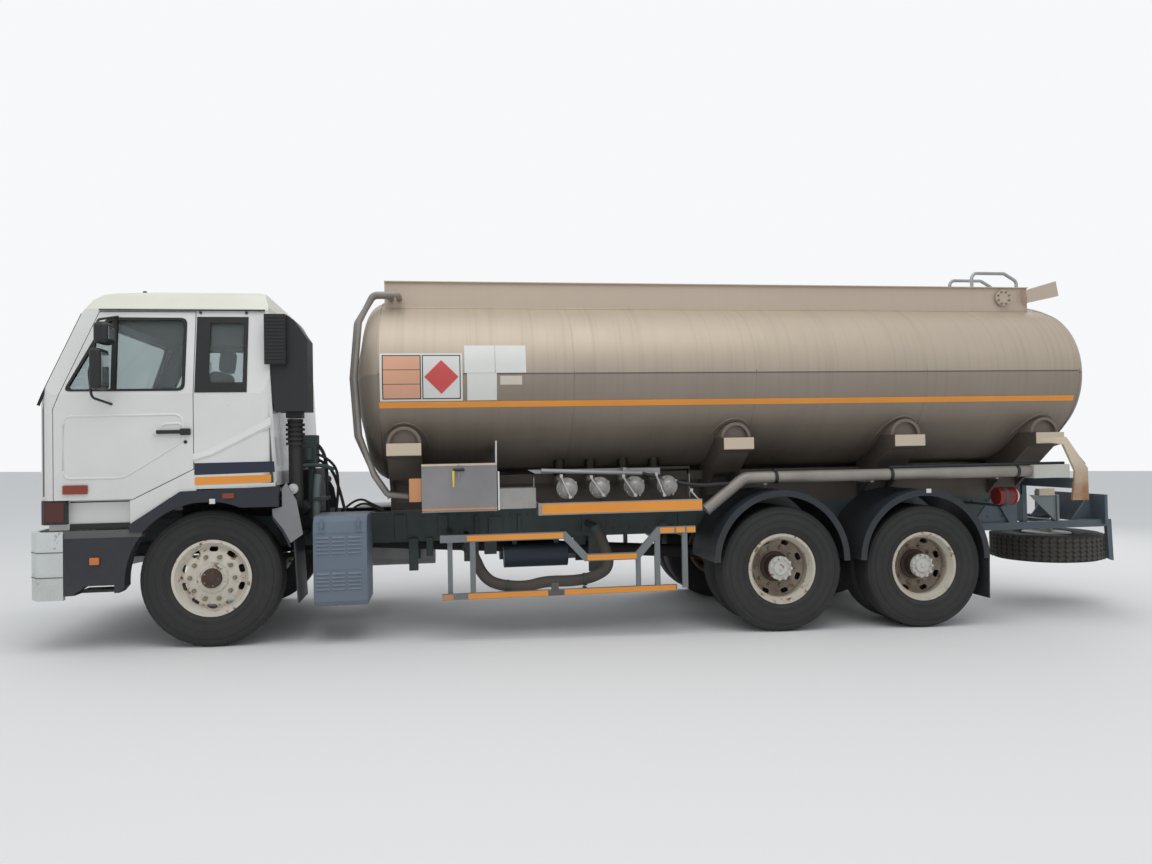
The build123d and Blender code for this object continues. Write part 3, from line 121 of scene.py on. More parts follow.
# %% Light and floor
scene = bpy.context.scene
scene.view_settings.view_transform = "Standard"
world = bpy.data.worlds.new("studio")
scene.world = world
world.use_nodes = True
sky = world.node_tree
sky.nodes.clear()
sky_out = sky.nodes.new("ShaderNodeOutputWorld")
seen = sky.nodes.new("ShaderNodeBackground")
seen.inputs["Color"].default_value = (0.93, 0.94, 0.96, 1)
seen.inputs["Strength"].default_value = 1.0
lit = sky.nodes.new("ShaderNodeBackground")
lit.inputs["Color"].default_value = (0.93, 0.96, 1, 1)
lit.inputs["Strength"].default_value = 0.74
path = sky.nodes.new("ShaderNodeLightPath")
either = sky.nodes.new("ShaderNodeMath")
either.operation = "MAXIMUM"
blend = sky.nodes.new("ShaderNodeMixShader")
sky.links.new(path.outputs["Is Camera Ray"], either.inputs[0])
sky.links.new(path.outputs["Is Transmission Ray"], either.inputs[1])
sky.links.new(either.outputs[0], blend.inputs[0])
sky.links.new(lit.outputs[0], blend.inputs[1])
sky.links.new(seen.outputs[0], blend.inputs[2])
sky.links.new(blend.outputs[0], sky_out.inputs[0])


def area_lamp(name, place, aim, size, power):
    """Soft square lamp that looks at a point."""
    lamp = bpy.data.lights.new(name, "AREA")
    lamp.shape = "SQUARE"
    lamp.size = size
    lamp.energy = power
    holder = bpy.data.objects.new(name, lamp)
    turn = (Vector(aim) - Vector(place)).to_track_quat("-Z", "Y")
    holder.matrix_world = Matrix.Translation(place) @ turn.to_matrix().to_4x4()
    scene.collection.objects.link(holder)


area_lamp("overhead", (-1.5, -4.5, 11), (0, 0, 1), 10, 560)
area_lamp("fill_rear", (7, 8, 7), (0, 0, 1), 7, 240)

FLOOR_HALF = 60
floor_mesh = bpy.data.meshes.new("floor")
floor_mesh.from_pydata(
    [(-FLOOR_HALF, -FLOOR_HALF, 0), (FLOOR_HALF, -FLOOR_HALF, 0), (FLOOR_HALF, FLOOR_HALF, 0),
     (-FLOOR_HALF, FLOOR_HALF, 0)], [], [(0, 1, 2, 3)])
floor = bpy.data.objects.new("floor", floor_mesh)
scene.collection.objects.link(floor)
floor_paint = bpy.data.materials.new("floor")
floor_paint.use_nodes = True
floor_paint.node_tree.nodes["Principled BSDF"].inputs["Base Color"].default_value = (0.74, 0.74, 0.73, 1)
floor_paint.node_tree.nodes["Principled BSDF"].inputs["Roughness"].default_value = 0.8
floor_mesh.materials.append(floor_paint)
print("floor", 2 * FLOOR_HALF, "m wide")

# %% [markdown]
# Finishes come next. Every material starts from one Principled shader and adds
# effects that several finishes share: road dirt that thickens towards the ground,
# rust in spots, wear on corners and a directional grain. Each effect is a node
# group with named inputs. They read Object coordinates, which on this truck are
# metres in the common frame, so a pattern never slides.

# %% Node helpers


def add_node(tree, kind, operation=None, **values):
    """New node with its operation and its input values set by name or number."""
    node = tree.nodes.new(kind)
    if operation:
        node.operation = operation
    for key, value in values.items():
        socket = int(key[1:]) if key[0] == "_" and key[1:].isdigit() else key.replace("_", " ")
        node.inputs[socket].default_value = value
    return node


def new_group(name, inputs, outputs):
    """Empty shader group with its sockets; inputs are (name, kind, default)."""
    group = bpy.data.node_groups.new(name, "ShaderNodeTree")
    for label, kind, default in inputs:
        socket = group.interface.new_socket(name=label, in_out="INPUT", socket_type="NodeSocket" + kind)
        socket.default_value = default
    for label, kind in outputs:
        group.interface.new_socket(name=label, in_out="OUTPUT", socket_type="NodeSocket" + kind)
    return group, group.nodes.new("NodeGroupInput"), group.nodes.new("NodeGroupOutput")


def object_place(tree, scale=(1, 1, 1)):
    """Object coordinates, stretched by scale."""
    coord = tree.nodes.new("ShaderNodeTexCoord")
    mapping = add_node(tree, "ShaderNodeMapping", Scale=scale)
    tree.links.new(coord.outputs["Object"], mapping.inputs["Vector"])
    return mapping.outputs["Vector"]


def noise(tree, scale, detail=5, stretch=(1, 1, 1), rough=0.6):
    """Noise texture on Object coordinates."""
    texture = add_node(tree, "ShaderNodeTexNoise", Scale=scale, Detail=detail, Roughness=rough)
    tree.links.new(object_place(tree, stretch), texture.inputs["Vector"])
    return texture.outputs["Fac"]


def remap(tree, value, low, high, to_low=0.0, to_high=1.0):
    """Map Range that clamps."""
    node = add_node(tree, "ShaderNodeMapRange", _1=low, _2=high, _3=to_low, _4=to_high)
    tree.links.new(value, node.inputs[0])
    return node.outputs[0]


def combine(tree, operation, first, second):
    """Math node on two links or numbers."""
    node = tree.nodes.new("ShaderNodeMath")
    node.operation = operation
    for slot_number, value in enumerate((first, second)):
        if isinstance(value, (int, float)):
            node.inputs[slot_number].default_value = value
        else:
            tree.links.new(value, node.inputs[slot_number])
    return node.outputs[0]


def times(tree, first, second):
    """Product of two links or numbers."""
    return combine(tree, "MULTIPLY", first, second)


def less(tree, first, second):
    """First less second."""
    return combine(tree, "SUBTRACT", first, second)


def size_of(tree, value):
    """Value without its sign."""
    return combine(tree, "ABSOLUTE", value, 0)


def opposite(tree, mask):
    """1 where the mask is 0 and 0 where it is 1."""
    return less(tree, 1, mask)


def mix_colour(tree, factor, first, second):
    """Mix of two colours, each a link or a tuple."""
    node = tree.nodes.new("ShaderNodeMix")
    node.data_type = "RGBA"
    tree.links.new(factor, node.inputs["Factor"])
    for socket, value in ((node.inputs[6], first), (node.inputs[7], second)):
        if isinstance(value, tuple):
            socket.default_value = (*value, 1)
        else:
            tree.links.new(value, socket)
    return node.outputs[2]


# %% Road dirt group
dirt_group, given, result = new_group(
    "road_dirt",
    [("Colour", "Color", (1, 1, 1, 1)), ("Dirt Colour", "Color", (0.14, 0.11, 0.08, 1)),
     ("Amount", "Float", 0.5), ("Clean Above", "Float", 1.4)],
    [("Colour", "Color"), ("Mask", "Float")])
height = dirt_group.nodes.new("ShaderNodeSeparateXYZ")
dirt_group.links.new(object_place(dirt_group), height.inputs[0])
fade = dirt_group.nodes.new("ShaderNodeMapRange")
dirt_group.links.new(height.outputs["Z"], fade.inputs[0])
dirt_group.links.new(given.outputs["Clean Above"], fade.inputs[1])
fade.inputs[2].default_value = 0.1
patches = remap(dirt_group, noise(dirt_group, 3.2, 8), 0.25, 0.75, 0.25, 1.0)
speckle = remap(dirt_group, noise(dirt_group, 60, 4), 0.35, 0.75, 0.6, 1.0)
dirt = times(dirt_group, fade.outputs[0], patches)
dirt = times(dirt_group, dirt, speckle)
dirt = times(dirt_group, dirt, given.outputs["Amount"])
dirt_group.links.new(dirt, result.inputs["Mask"])
mixed = mix_colour(dirt_group, dirt, given.outputs["Colour"], given.outputs["Dirt Colour"])
dirt_group.links.new(mixed, result.inputs["Colour"])

# %% Rust group
rust_group, given, result = new_group(
    "rust_spots",
    [("Colour", "Color", (1, 1, 1, 1)), ("Amount", "Float", 0.3), ("Scale", "Float", 9.0)],
    [("Colour", "Color"), ("Mask", "Float")])
spots = rust_group.nodes.new("ShaderNodeTexNoise")
spots.inputs["Detail"].default_value = 9
spots.inputs["Roughness"].default_value = 0.68
rust_group.links.new(object_place(rust_group), spots.inputs["Vector"])
rust_group.links.new(given.outputs["Scale"], spots.inputs["Scale"])
edge = less(rust_group, 0.74, times(rust_group, given.outputs["Amount"], 0.4))
above = less(rust_group, spots.outputs["Fac"], edge)
spot_mask = remap(rust_group, above, 0.0, 0.07)
tone = remap(rust_group, noise(rust_group, 35, 6), 0.3, 0.7)
rust_tone = mix_colour(rust_group, tone, (0.075, 0.03, 0.014), (0.26, 0.105, 0.04))
rust_group.links.new(spot_mask, result.inputs["Mask"])
mixed = mix_colour(rust_group, spot_mask, given.outputs["Colour"], rust_tone)
rust_group.links.new(mixed, result.inputs["Colour"])

# %% Corner wear group
wear_group, given, result = new_group(
    "corner_wear", [("Radius", "Float", 0.006), ("Amount", "Float", 0.6)], [("Mask", "Float")])
rounded = wear_group.nodes.new("ShaderNodeBevel")
rounded.samples = 4
wear_group.links.new(given.outputs["Radius"], rounded.inputs["Radius"])
flat = wear_group.nodes.new("ShaderNodeNewGeometry")
alike = wear_group.nodes.new("ShaderNodeVectorMath")
alike.operation = "DOT_PRODUCT"
wear_group.links.new(rounded.outputs[0], alike.inputs[0])
wear_group.links.new(flat.outputs["Normal"], alike.inputs[1])
corner = remap(wear_group, alike.outputs["Value"], 0.97, 0.8)
broken = remap(wear_group, noise(wear_group, 26, 7), 0.42, 0.58)
worn = times(wear_group, corner, broken)
worn = times(wear_group, worn, given.outputs["Amount"])
wear_group.links.new(worn, result.inputs["Mask"])

# %% Grain group
grain_group, given, result = new_group(
    "surface_grain", [("Scale", "Float", 40.0), ("Stretch", "Vector", (1, 1, 1))], [("Height", "Float")])
grain_place = grain_group.nodes.new("ShaderNodeTexCoord")
grain_map = grain_group.nodes.new("ShaderNodeMapping")
grain_group.links.new(grain_place.outputs["Object"], grain_map.inputs["Vector"])
grain_group.links.new(given.outputs["Stretch"], grain_map.inputs["Scale"])
grain_noise = add_node(grain_group, "ShaderNodeTexNoise", Detail=6, Roughness=0.6)
grain_group.links.new(grain_map.outputs[0], grain_noise.inputs["Vector"])
grain_group.links.new(given.outputs["Scale"], grain_noise.inputs["Scale"])
grain_group.links.new(grain_noise.outputs["Fac"], result.inputs["Height"])
print("shared finishes", [g.name for g in (dirt_group, rust_group, wear_group, grain_group)])

# %% [markdown]
# One function builds a painted or moulded finish from these groups. Its
# arguments are what a painter would ask for: the colour, the gloss, how dirty,
# how rusty, how worn. Numbers that are the same all over go straight on the
# shader's own sockets.

# %% Finish maker


def place_group(tree, group, **values):
    """Group node with its inputs set; underscores stand for spaces."""
    node = tree.nodes.new("ShaderNodeGroup")
    node.node_tree = group
    for key, value in values.items():
        node.inputs[key.replace("_", " ")].default_value = value
    return node


def principled(name):
    """New material with its tree and its shader."""
    material = bpy.data.materials.new(name)
    material.use_nodes = True
    return material, material.node_tree, material.node_tree.nodes["Principled BSDF"]


def emboss(tree, shader, height, strength, distance=0.002):
    """Bump from a height link to the shader's normal."""
    relief = add_node(tree, "ShaderNodeBump", Strength=strength, Distance=distance)
    tree.links.new(height, relief.inputs["Height"])
    tree.links.new(relief.outputs["Normal"], shader.inputs["Normal"])


def finish(name, colour, rough=0.5, metal=0.0, dirt=0.3, dirt_colour=(0.14, 0.11, 0.08), clean_above=1.4,
           rust=0.0, rust_scale=9.0, wear=0.0, wear_colour=(0.3, 0.3, 0.29), grain=60.0, stretch=(1, 1, 1),
           bump=0.08, vary=0.12, coat=0.0):
    """Material of one colour with dirt, rust, wear, grain and slight variation."""
    material, tree, shader = principled(name)
    shader.inputs["Metallic"].default_value = metal
    shader.inputs["Coat Weight"].default_value = coat
    darker = tuple(c * (1 - vary) for c in colour)
    lighter = tuple(min(c * (1 + vary), 1) for c in colour)
    shade = mix_colour(tree, remap(tree, noise(tree, 1.7, 6), 0.3, 0.7), darker, lighter)
    if wear:
        worn = place_group(tree, wear_group, Amount=wear)
        shade = mix_colour(tree, worn.outputs["Mask"], shade, wear_colour)
    if rust:
        rusty = place_group(tree, rust_group, Amount=rust, Scale=rust_scale)
        tree.links.new(shade, rusty.inputs["Colour"])
        shade = rusty.outputs["Colour"]
    dirty = place_group(tree, dirt_group, Dirt_Colour=(*dirt_colour, 1), Amount=dirt, Clean_Above=clean_above)
    tree.links.new(shade, dirty.inputs["Colour"])
    tree.links.new(dirty.outputs["Colour"], shader.inputs["Base Color"])
    dull = remap(tree, dirty.outputs["Mask"], 0, 1, rough, min(rough + 0.35, 0.95))
    uneven = remap(tree, noise(tree, 14, 5), 0.3, 0.7, -0.05, 0.05)
    tree.links.new(combine(tree, "ADD", dull, uneven), shader.inputs["Roughness"])
    fine = place_group(tree, grain_group, Scale=grain, Stretch=stretch)
    emboss(tree, shader, fine.outputs["Height"], bump)
    return material


# %% Plain finishes
CAB_WHITE = finish("cab_white", (0.70, 0.71, 0.68), 0.32, dirt=0.5, clean_above=1.5, rust=0.03, rust_scale=14,
                   bump=0.02, vary=0.04, coat=0.3)
BUMPER_WHITE = finish("bumper_white", (0.66, 0.70, 0.68), 0.42, dirt=0.6, rust=0.3, rust_scale=8, bump=0.03,
                      vary=0.05)
ROOF_WHITE = finish("roof_white", (0.68, 0.67, 0.58), 0.4, dirt=0.2, bump=0.03, vary=0.05)
DARK_PANEL = finish("dark_panel", (0.012, 0.016, 0.024), 0.42, dirt=0.55, dirt_colour=(0.10, 0.09, 0.08),
                    wear=0.35, wear_colour=(0.12, 0.12, 0.13), bump=0.03)
FENDER_BLUE = finish("fender_blue", (0.011, 0.017, 0.024), 0.45, dirt=0.6, dirt_colour=(0.10, 0.09, 0.08),
                     wear=0.5, wear_colour=(0.10, 0.12, 0.14), bump=0.04)
CHASSIS_GREY = finish("chassis_grey", (0.060, 0.086, 0.086), 0.6, dirt=0.8, dirt_colour=(0.07, 0.058, 0.045),
                      clean_above=1.8, rust=0.25, rust_scale=7, wear=0.4, wear_colour=(0.10, 0.10, 0.09),
                      vary=0.25)
AXLE_BLACK = finish("axle_black", (0.018, 0.018, 0.018), 0.65, dirt=0.9, dirt_colour=(0.05, 0.042, 0.033),
                    clean_above=1.6, rust=0.2, vary=0.3)
REAR_BLUE = finish("rear_blue_grey", (0.085, 0.115, 0.142), 0.5, dirt=0.4, rust=0.15, rust_scale=11, wear=0.5,
                   wear_colour=(0.2, 0.2, 0.2))
RIM_WHITE = finish("rim_white", (0.64, 0.60, 0.52), 0.5, dirt=0.3, dirt_colour=(0.26, 0.17, 0.10), rust=0.45,
                   rust_scale=11, wear=0.9, wear_colour=(0.17, 0.07, 0.03), vary=0.1)
CAP_BROWN = finish("cap_brown", (0.052, 0.027, 0.020), 0.6, dirt=0.2, rust=0.15, rust_scale=20, vary=0.3,
                   bump=0.1)
TREAD_DUSTY = finish("tread_dusty", (0.060, 0.057, 0.050), 0.8, dirt=0.4, grain=90, bump=0.15, vary=0.3)
HOSE_TUBE = finish("hose_tube", (0.30, 0.275, 0.245), 0.5, metal=0.35, dirt=0.5, grain=30, vary=0.25)
BOX_GREY = finish("box_grey", (0.50, 0.50, 0.45), 0.5, dirt=0.3, rust=0.2, rust_scale=12)
CREAM_LOOK = {"colour": (0.62, 0.53, 0.39), "dirt": 0.3, "rust": 0.3, "rust_scale": 10, "wear": 0.5,
              "wear_colour": (0.28, 0.15, 0.07), "clean_above": 1.9}
GUSSET_CREAM = finish("gusset_cream", **CREAM_LOOK)
TEAL_GREY = finish("teal_grey", (0.20, 0.235, 0.235), 0.5, dirt=0.4, rust=0.15, rust_scale=11, wear=0.5)
LENS_DARK = finish("lens_dark_red", (0.075, 0.016, 0.012), 0.3, dirt=0.3, bump=0.02)
BATTERY_BLUE = finish("battery_blue_grey", (0.125, 0.165, 0.215), 0.5, dirt=0.35, rust=0.12, rust_scale=12,
                      wear=0.6, wear_colour=(0.24, 0.25, 0.26))
POST_GREY = finish("post_grey", (0.17, 0.19, 0.20), 0.5, dirt=0.35, rust=0.2, rust_scale=15, wear=0.4)
RIM_CREAM = finish("rim_cream", (0.56, 0.52, 0.43), 0.5, dirt=0.3, dirt_colour=(0.20, 0.13, 0.08), rust=0.42,
                   rust_scale=12, wear=0.9, wear_colour=(0.17, 0.07, 0.03), vary=0.08)
RUSTY_CORE = finish("rusty_core", (0.060, 0.036, 0.026), 0.7, dirt=0.3, rust=0.35, rust_scale=16, vary=0.3,
                    bump=0.2)
FLANGE_WHITE = finish("flange_white", (0.55, 0.54, 0.50), 0.55, dirt=0.2, rust=0.45, rust_scale=26, bump=0.06)
NUT_STEEL = finish("nut_steel", (0.30, 0.26, 0.20), 0.5, metal=0.5, dirt=0.2, rust=0.5, rust_scale=40)
TYRE_RUBBER = finish("tyre_rubber", (0.019, 0.020, 0.019), 0.75, dirt=0.5, dirt_colour=(0.062, 0.060, 0.052),
                     clean_above=1.7, grain=90, bump=0.15, vary=0.2)
TAPE_ORANGE = finish("tape_orange", (0.80, 0.30, 0.035), 0.38, dirt=0.25, grain=220, bump=0.05, vary=0.06)
TAPE_NAVY = finish("tape_navy", (0.014, 0.020, 0.042), 0.35, dirt=0.2, bump=0.02)
ORANGE_BROWN = finish("orange_brown", (0.55, 0.26, 0.12), 0.55, dirt=0.3, bump=0.05)
CREAM = finish("cream_plate", **CREAM_LOOK)
BLACK_PLASTIC = finish("black_plastic", (0.016, 0.016, 0.017), 0.5, dirt=0.25, grain=160, bump=0.1)
SEAL_RUBBER = finish("seal_rubber", (0.010, 0.010, 0.010), 0.6, dirt=0.1, grain=120, bump=0.06)
HOSE_BLACK = finish("hose_black", (0.022, 0.021, 0.020), 0.6, dirt=0.5, grain=90, bump=0.12)
HOSE_GREY = finish("hose_grey", (0.075, 0.068, 0.060), 0.7, dirt=0.5, grain=50, bump=0.25)
LENS_AMBER = finish("lens_amber", (0.62, 0.17, 0.03), 0.15, dirt=0.1, bump=0.02, coat=0.5)
LENS_RED = finish("lens_red", (0.34, 0.03, 0.02), 0.15, dirt=0.15, bump=0.02, coat=0.5)
LENS_DULL = finish("lens_dull_red", (0.24, 0.045, 0.020), 0.3, dirt=0.4, bump=0.02)
MIRROR_GLASS = finish("mirror_glass", (0.75, 0.77, 0.78), 0.04, metal=1.0, dirt=0.05, bump=0.0, vary=0.02)
LENS_CLEAR = finish("lens_clear", (0.55, 0.57, 0.58), 0.08, metal=0.2, dirt=0.1, bump=0.02, coat=0.6)
WHITE_SIGN = finish("white_sign", (0.66, 0.66, 0.63), 0.35, dirt=0.1, bump=0.02, vary=0.05)
PALE_PATCH = finish("pale_patch", (0.60, 0.53, 0.45), 0.5, dirt=0.1, bump=0.03)
SALMON_SIGN = finish("salmon_sign", (0.64, 0.34, 0.22), 0.35, dirt=0.1, bump=0.02, vary=0.06)
RED_SIGN = finish("red_sign", (0.56, 0.075, 0.07), 0.35, dirt=0.1, bump=0.02, vary=0.08)
BLACK_LINE = finish("black_line", (0.02, 0.018, 0.018), 0.4, dirt=0.1, bump=0.02)
SEAT_CLOTH = finish("seat_cloth", (0.05, 0.052, 0.06), 0.9, dirt=0.1, grain=400, bump=0.35)
TRIM_GREY = finish("trim_grey", (0.055, 0.053, 0.05), 0.7, dirt=0.1, grain=200, bump=0.15)
OUTLET_ALLOY = finish("outlet_alloy", (0.40, 0.39, 0.37), 0.4, metal=0.7, dirt=0.7,
                      dirt_colour=(0.13, 0.10, 0.08), clean_above=2.2, grain=70, bump=0.12, vary=0.2)
GALVANISED = finish("galvanised", (0.42, 0.43, 0.43), 0.45, metal=0.5, dirt=0.4, clean_above=2.6, grain=30,
                    vary=0.2)
RED_PAINT = finish("red_paint", (0.20, 0.016, 0.014), 0.35, dirt=0.3, rust=0.2)
LOCKER_STEEL = finish("locker_steel", (0.27, 0.265, 0.27), 0.4, metal=0.45, dirt=0.35, clean_above=2.2,
                      dirt_colour=(0.16, 0.12, 0.09), grain=30, stretch=(0.4, 1, 9), bump=0.1, vary=0.14)
GUARD_GREY = finish("guard_grey", (0.22, 0.225, 0.235), 0.55, dirt=0.6, wear=0.4)
BRIGHT_STEEL = finish("bright_steel", (0.55, 0.55, 0.54), 0.3, metal=0.8, dirt=0.2, rust=0.1, rust_scale=30)
YELLOW_TAG = finish("yellow_tag", (0.75, 0.55, 0.04), 0.5, dirt=0.1)
FADED_GREY = finish("faded_grey", (0.10, 0.10, 0.10), 0.6, dirt=0.4, bump=0.06)
print("finishes", len(bpy.data.materials))

# %% [markdown]
# The tank is bare aluminium, rolled in sheets. Years of washing leave upright
# streaks. Its lower half is painted darker, as painted shade and a painted
# reflection of the dark ground. One material carries the brushed grain, the
# streaks and this painted change from pale beige at the top to brown below.

# %% Tank metal


def tank_metal(name, lit_top_colour, shaded_low_colour, streaky=1.0):
    """Brushed sheet with painted shade and a painted ground reflection that darken it downwards; streaky sets
    how strong its run marks are.
    """
    material, tree, shader = principled(name)
    shader.inputs["Metallic"].default_value = 0.35
    parts = tree.nodes.new("ShaderNodeSeparateXYZ")
    tree.links.new(object_place(tree), parts.inputs[0])
    streaks = noise(tree, 5.0, 7, (1.3, 0.07, 0.07), 0.6)
    level = combine(tree, "ADD", parts.outputs["Z"],
                    remap(tree, streaks, 0.3, 0.7, -0.07 * streaky, 0.07 * streaky))
    # Painted shade and painted reflection of the ground: the lit top colour turns into the shaded low colour
    # downwards.
    shade = mix_colour(tree, remap(tree, level, 2.45, 1.45), lit_top_colour, shaded_low_colour)
    cloud = remap(tree, noise(tree, 1.1, 7), 0.3, 0.75, 0.0, 0.35)
    pale = tuple(min(1.12 * c, 1) for c in lit_top_colour)
    shade = mix_colour(tree, cloud, shade, pale)
    lines = remap(tree, noise(tree, 16.0, 5, (1.8, 0.03, 0.03)), 0.5, 0.72, 0.0, 0.13 * streaky)
    shade = mix_colour(tree, lines, shade, tuple(0.6 * c for c in shaded_low_colour))
    runs = remap(tree, noise(tree, 30.0, 4, (2.0, 0.02, 0.05)), 0.52, 0.75, 0.0, 0.3 * streaky)
    runs = times(tree, runs, remap(tree, parts.outputs["Z"], 2.15, 1.95))
    shade = mix_colour(tree, runs, shade, tuple(0.8 * c for c in lit_top_colour))
    tree.links.new(shade, shader.inputs["Base Color"])
    tree.links.new(remap(tree, streaks, 0.3, 0.7, 0.46, 0.6), shader.inputs["Roughness"])
    brushed = place_group(tree, grain_group, Scale=30, Stretch=(0.3, 6, 6))
    emboss(tree, shader, brushed.outputs["Height"], 0.12)
    return material


TANK_METAL = tank_metal("tank_metal", (0.480, 0.402, 0.312), (0.175, 0.142, 0.108))
COAMING_METAL = tank_metal("coaming_metal", (0.54, 0.45, 0.36), (0.50, 0.41, 0.33), 0.3)

# %% [markdown]
# The bearers change finish with height: dark frame paint below, a cream outer
# face, and brown for the half-round pads. Height and distance from the
# middle, measured along the tilted chassis, choose the finish.

# %% Paint that changes with place


def chassis_place(tree):
    """Separated Object coordinates, turned back level with the chassis."""
    coord = tree.nodes.new("ShaderNodeTexCoord")
    mapping = add_node(tree, "ShaderNodeMapping", Rotation=(0, RAKE, 0))
    parts = tree.nodes.new("ShaderNodeSeparateXYZ")
    tree.links.new(coord.outputs["Object"], mapping.inputs["Vector"])
    tree.links.new(mapping.outputs[0], parts.inputs[0])
    return parts


def colour_above(material, test, colour):
    """Put colour wherever the test (a 0 to 1 link made by a function) says so."""
    tree = material.node_tree
    shader = tree.nodes["Principled BSDF"]
    base = shader.inputs["Base Color"]
    before = base.links[0].from_socket
    mask = test(tree, chassis_place(tree))
    tree.links.new(mix_colour(tree, mask, before, colour), base)


level_zero = (TO_CHASSIS @ Vector((0, 0, 0)))
level_turn = Matrix.Rotation(RAKE, 4, "Y")
LEVEL_SHIFT = level_turn @ level_zero


def over(tree, value, limit, soft=0.004):
    """1 where value is over the limit, 0 below."""
    return remap(tree, value, limit - soft, limit + soft)


def above_height(tree, at, z, soft=0.004):
    """1 above the chassis height z, 0 below."""
    return over(tree, at.outputs["Z"], z + LEVEL_SHIFT.z, soft)


BEARER_PAINT = finish("bearer_paint", (0.105, 0.088, 0.074), 0.55, metal=0.2, dirt=0.6,
                      dirt_colour=(0.07, 0.058, 0.045), clean_above=1.4, rust=0.2, rust_scale=7, vary=0.2)
colour_above(BEARER_PAINT, lambda tree, at: times(
    tree, above_height(tree, at, 1.452), over(tree, size_of(tree, at.outputs["Y"]), 1.172)),
             (0.58, 0.49, 0.37))
colour_above(BEARER_PAINT, lambda tree, at: above_height(tree, at, 1.554), (0.20, 0.155, 0.128))

# The sheet below the long seam is greyer than the sheet above it
colour_above(TANK_METAL, lambda tree, at: times(tree, opposite(tree, above_height(tree, at, SEAM_Z)), 0.42),
             (0.155, 0.135, 0.122))
# The dish of a rear wheel, further in than its outer lip, is browner
colour_above(RIM_CREAM, lambda tree, at: times(
    tree, remap(tree, size_of(tree, at.outputs["Y"]), 1.14, 1.05, 0.0, 0.85),
    remap(tree, noise(tree, 5, 6), 0.3, 0.6, 0.45, 1.0)), (0.155, 0.098, 0.066))
# Painted shade: the outlets above chassis height 1.245, under the tank's belly, are painted near-black.
colour_above(OUTLET_ALLOY, lambda tree, at: above_height(tree, at, 1.245, 0.01), (0.045, 0.038, 0.033))
colour_above(GUSSET_CREAM, lambda tree, at: times(
    tree, opposite(tree, above_height(tree, at, 1.16, 0.12)),
    remap(tree, noise(tree, 9, 6), 0.3, 0.6, 0.6, 1.0)), (0.30, 0.145, 0.07))
SIDE_TANK_METAL = finish("side_tank_metal", (0.42, 0.43, 0.43), 0.45, metal=0.5, dirt=0.4, grain=30, vary=0.2)
colour_above(SIDE_TANK_METAL, lambda tree, at: opposite(
    tree, over(tree, size_of(tree, at.outputs["Y"]), 0.45)), (0.055, 0.072, 0.09))

# %% Painted shade inside the cab
# Inner faces of the walls: half width, front and rear x and floor height
INNER_HALF, INNER_FRONT, INNER_REAR, INNER_FLOOR = 1.214, -1.179, 0.482, 1.195
# How far the sides, the screen and the rear wall lean in per metre, rounded
SIDE_LEAN, SCREEN_LEAN, REAR_LEAN = 0.1742, 0.385, 0.0461
REAR_FOOT_Z = 1.24


def inside_cab(tree, at):
    """Mask of the faces that look into the cab."""
    belt_rise = combine(tree, "MAXIMUM", less(tree, at.outputs["Z"], BELT_Z + LEVEL_SHIFT.z), 0)
    wide = combine(tree, "ADD", size_of(tree, at.outputs["Y"]), times(tree, belt_rise, SIDE_LEAN))
    front_rise = combine(tree, "MAXIMUM", less(tree, at.outputs["Z"], SCREEN_FOOT_Z + LEVEL_SHIFT.z), 0)
    front = less(tree, at.outputs["X"], times(tree, front_rise, SCREEN_LEAN))
    rear_rise = less(tree, at.outputs["Z"], REAR_FOOT_Z + LEVEL_SHIFT.z)
    rear = combine(tree, "ADD", at.outputs["X"], times(tree, rear_rise, REAR_LEAN))
    mask = opposite(tree, over(tree, wide, INNER_HALF))
    for limit_mask in (over(tree, front, INNER_FRONT + LEVEL_SHIFT.x),
                       opposite(tree, over(tree, rear, INNER_REAR + LEVEL_SHIFT.x)),
                       above_height(tree, at, INNER_FLOOR)):
        mask = times(tree, mask, limit_mask)
    return mask


# Painted shade: the white cab paint is painted near-black on the faces that look into the cab.
colour_above(CAB_WHITE, inside_cab, (0.045, 0.044, 0.042))
print("level shift", [round(v, 4) for v in LEVEL_SHIFT])

# %% Window glass
WINDOW_GLASS, glass_tree, glass = principled("window_glass")
GLASS_VALUES = {"Base Color": (0.62, 0.68, 0.68, 1), "Roughness": 0.04, "Transmission Weight": 0.9,
                "IOR": 1.15}
for label, value in GLASS_VALUES.items():
    glass.inputs[label].default_value = value
emboss(glass_tree, glass, noise(glass_tree, 5, 4), 0.02, 0.001)

# %% [markdown]
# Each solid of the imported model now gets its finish. Solids stay as they are;
# only their material slots change. A short table pairs the finish with the nodes
# that carry it.

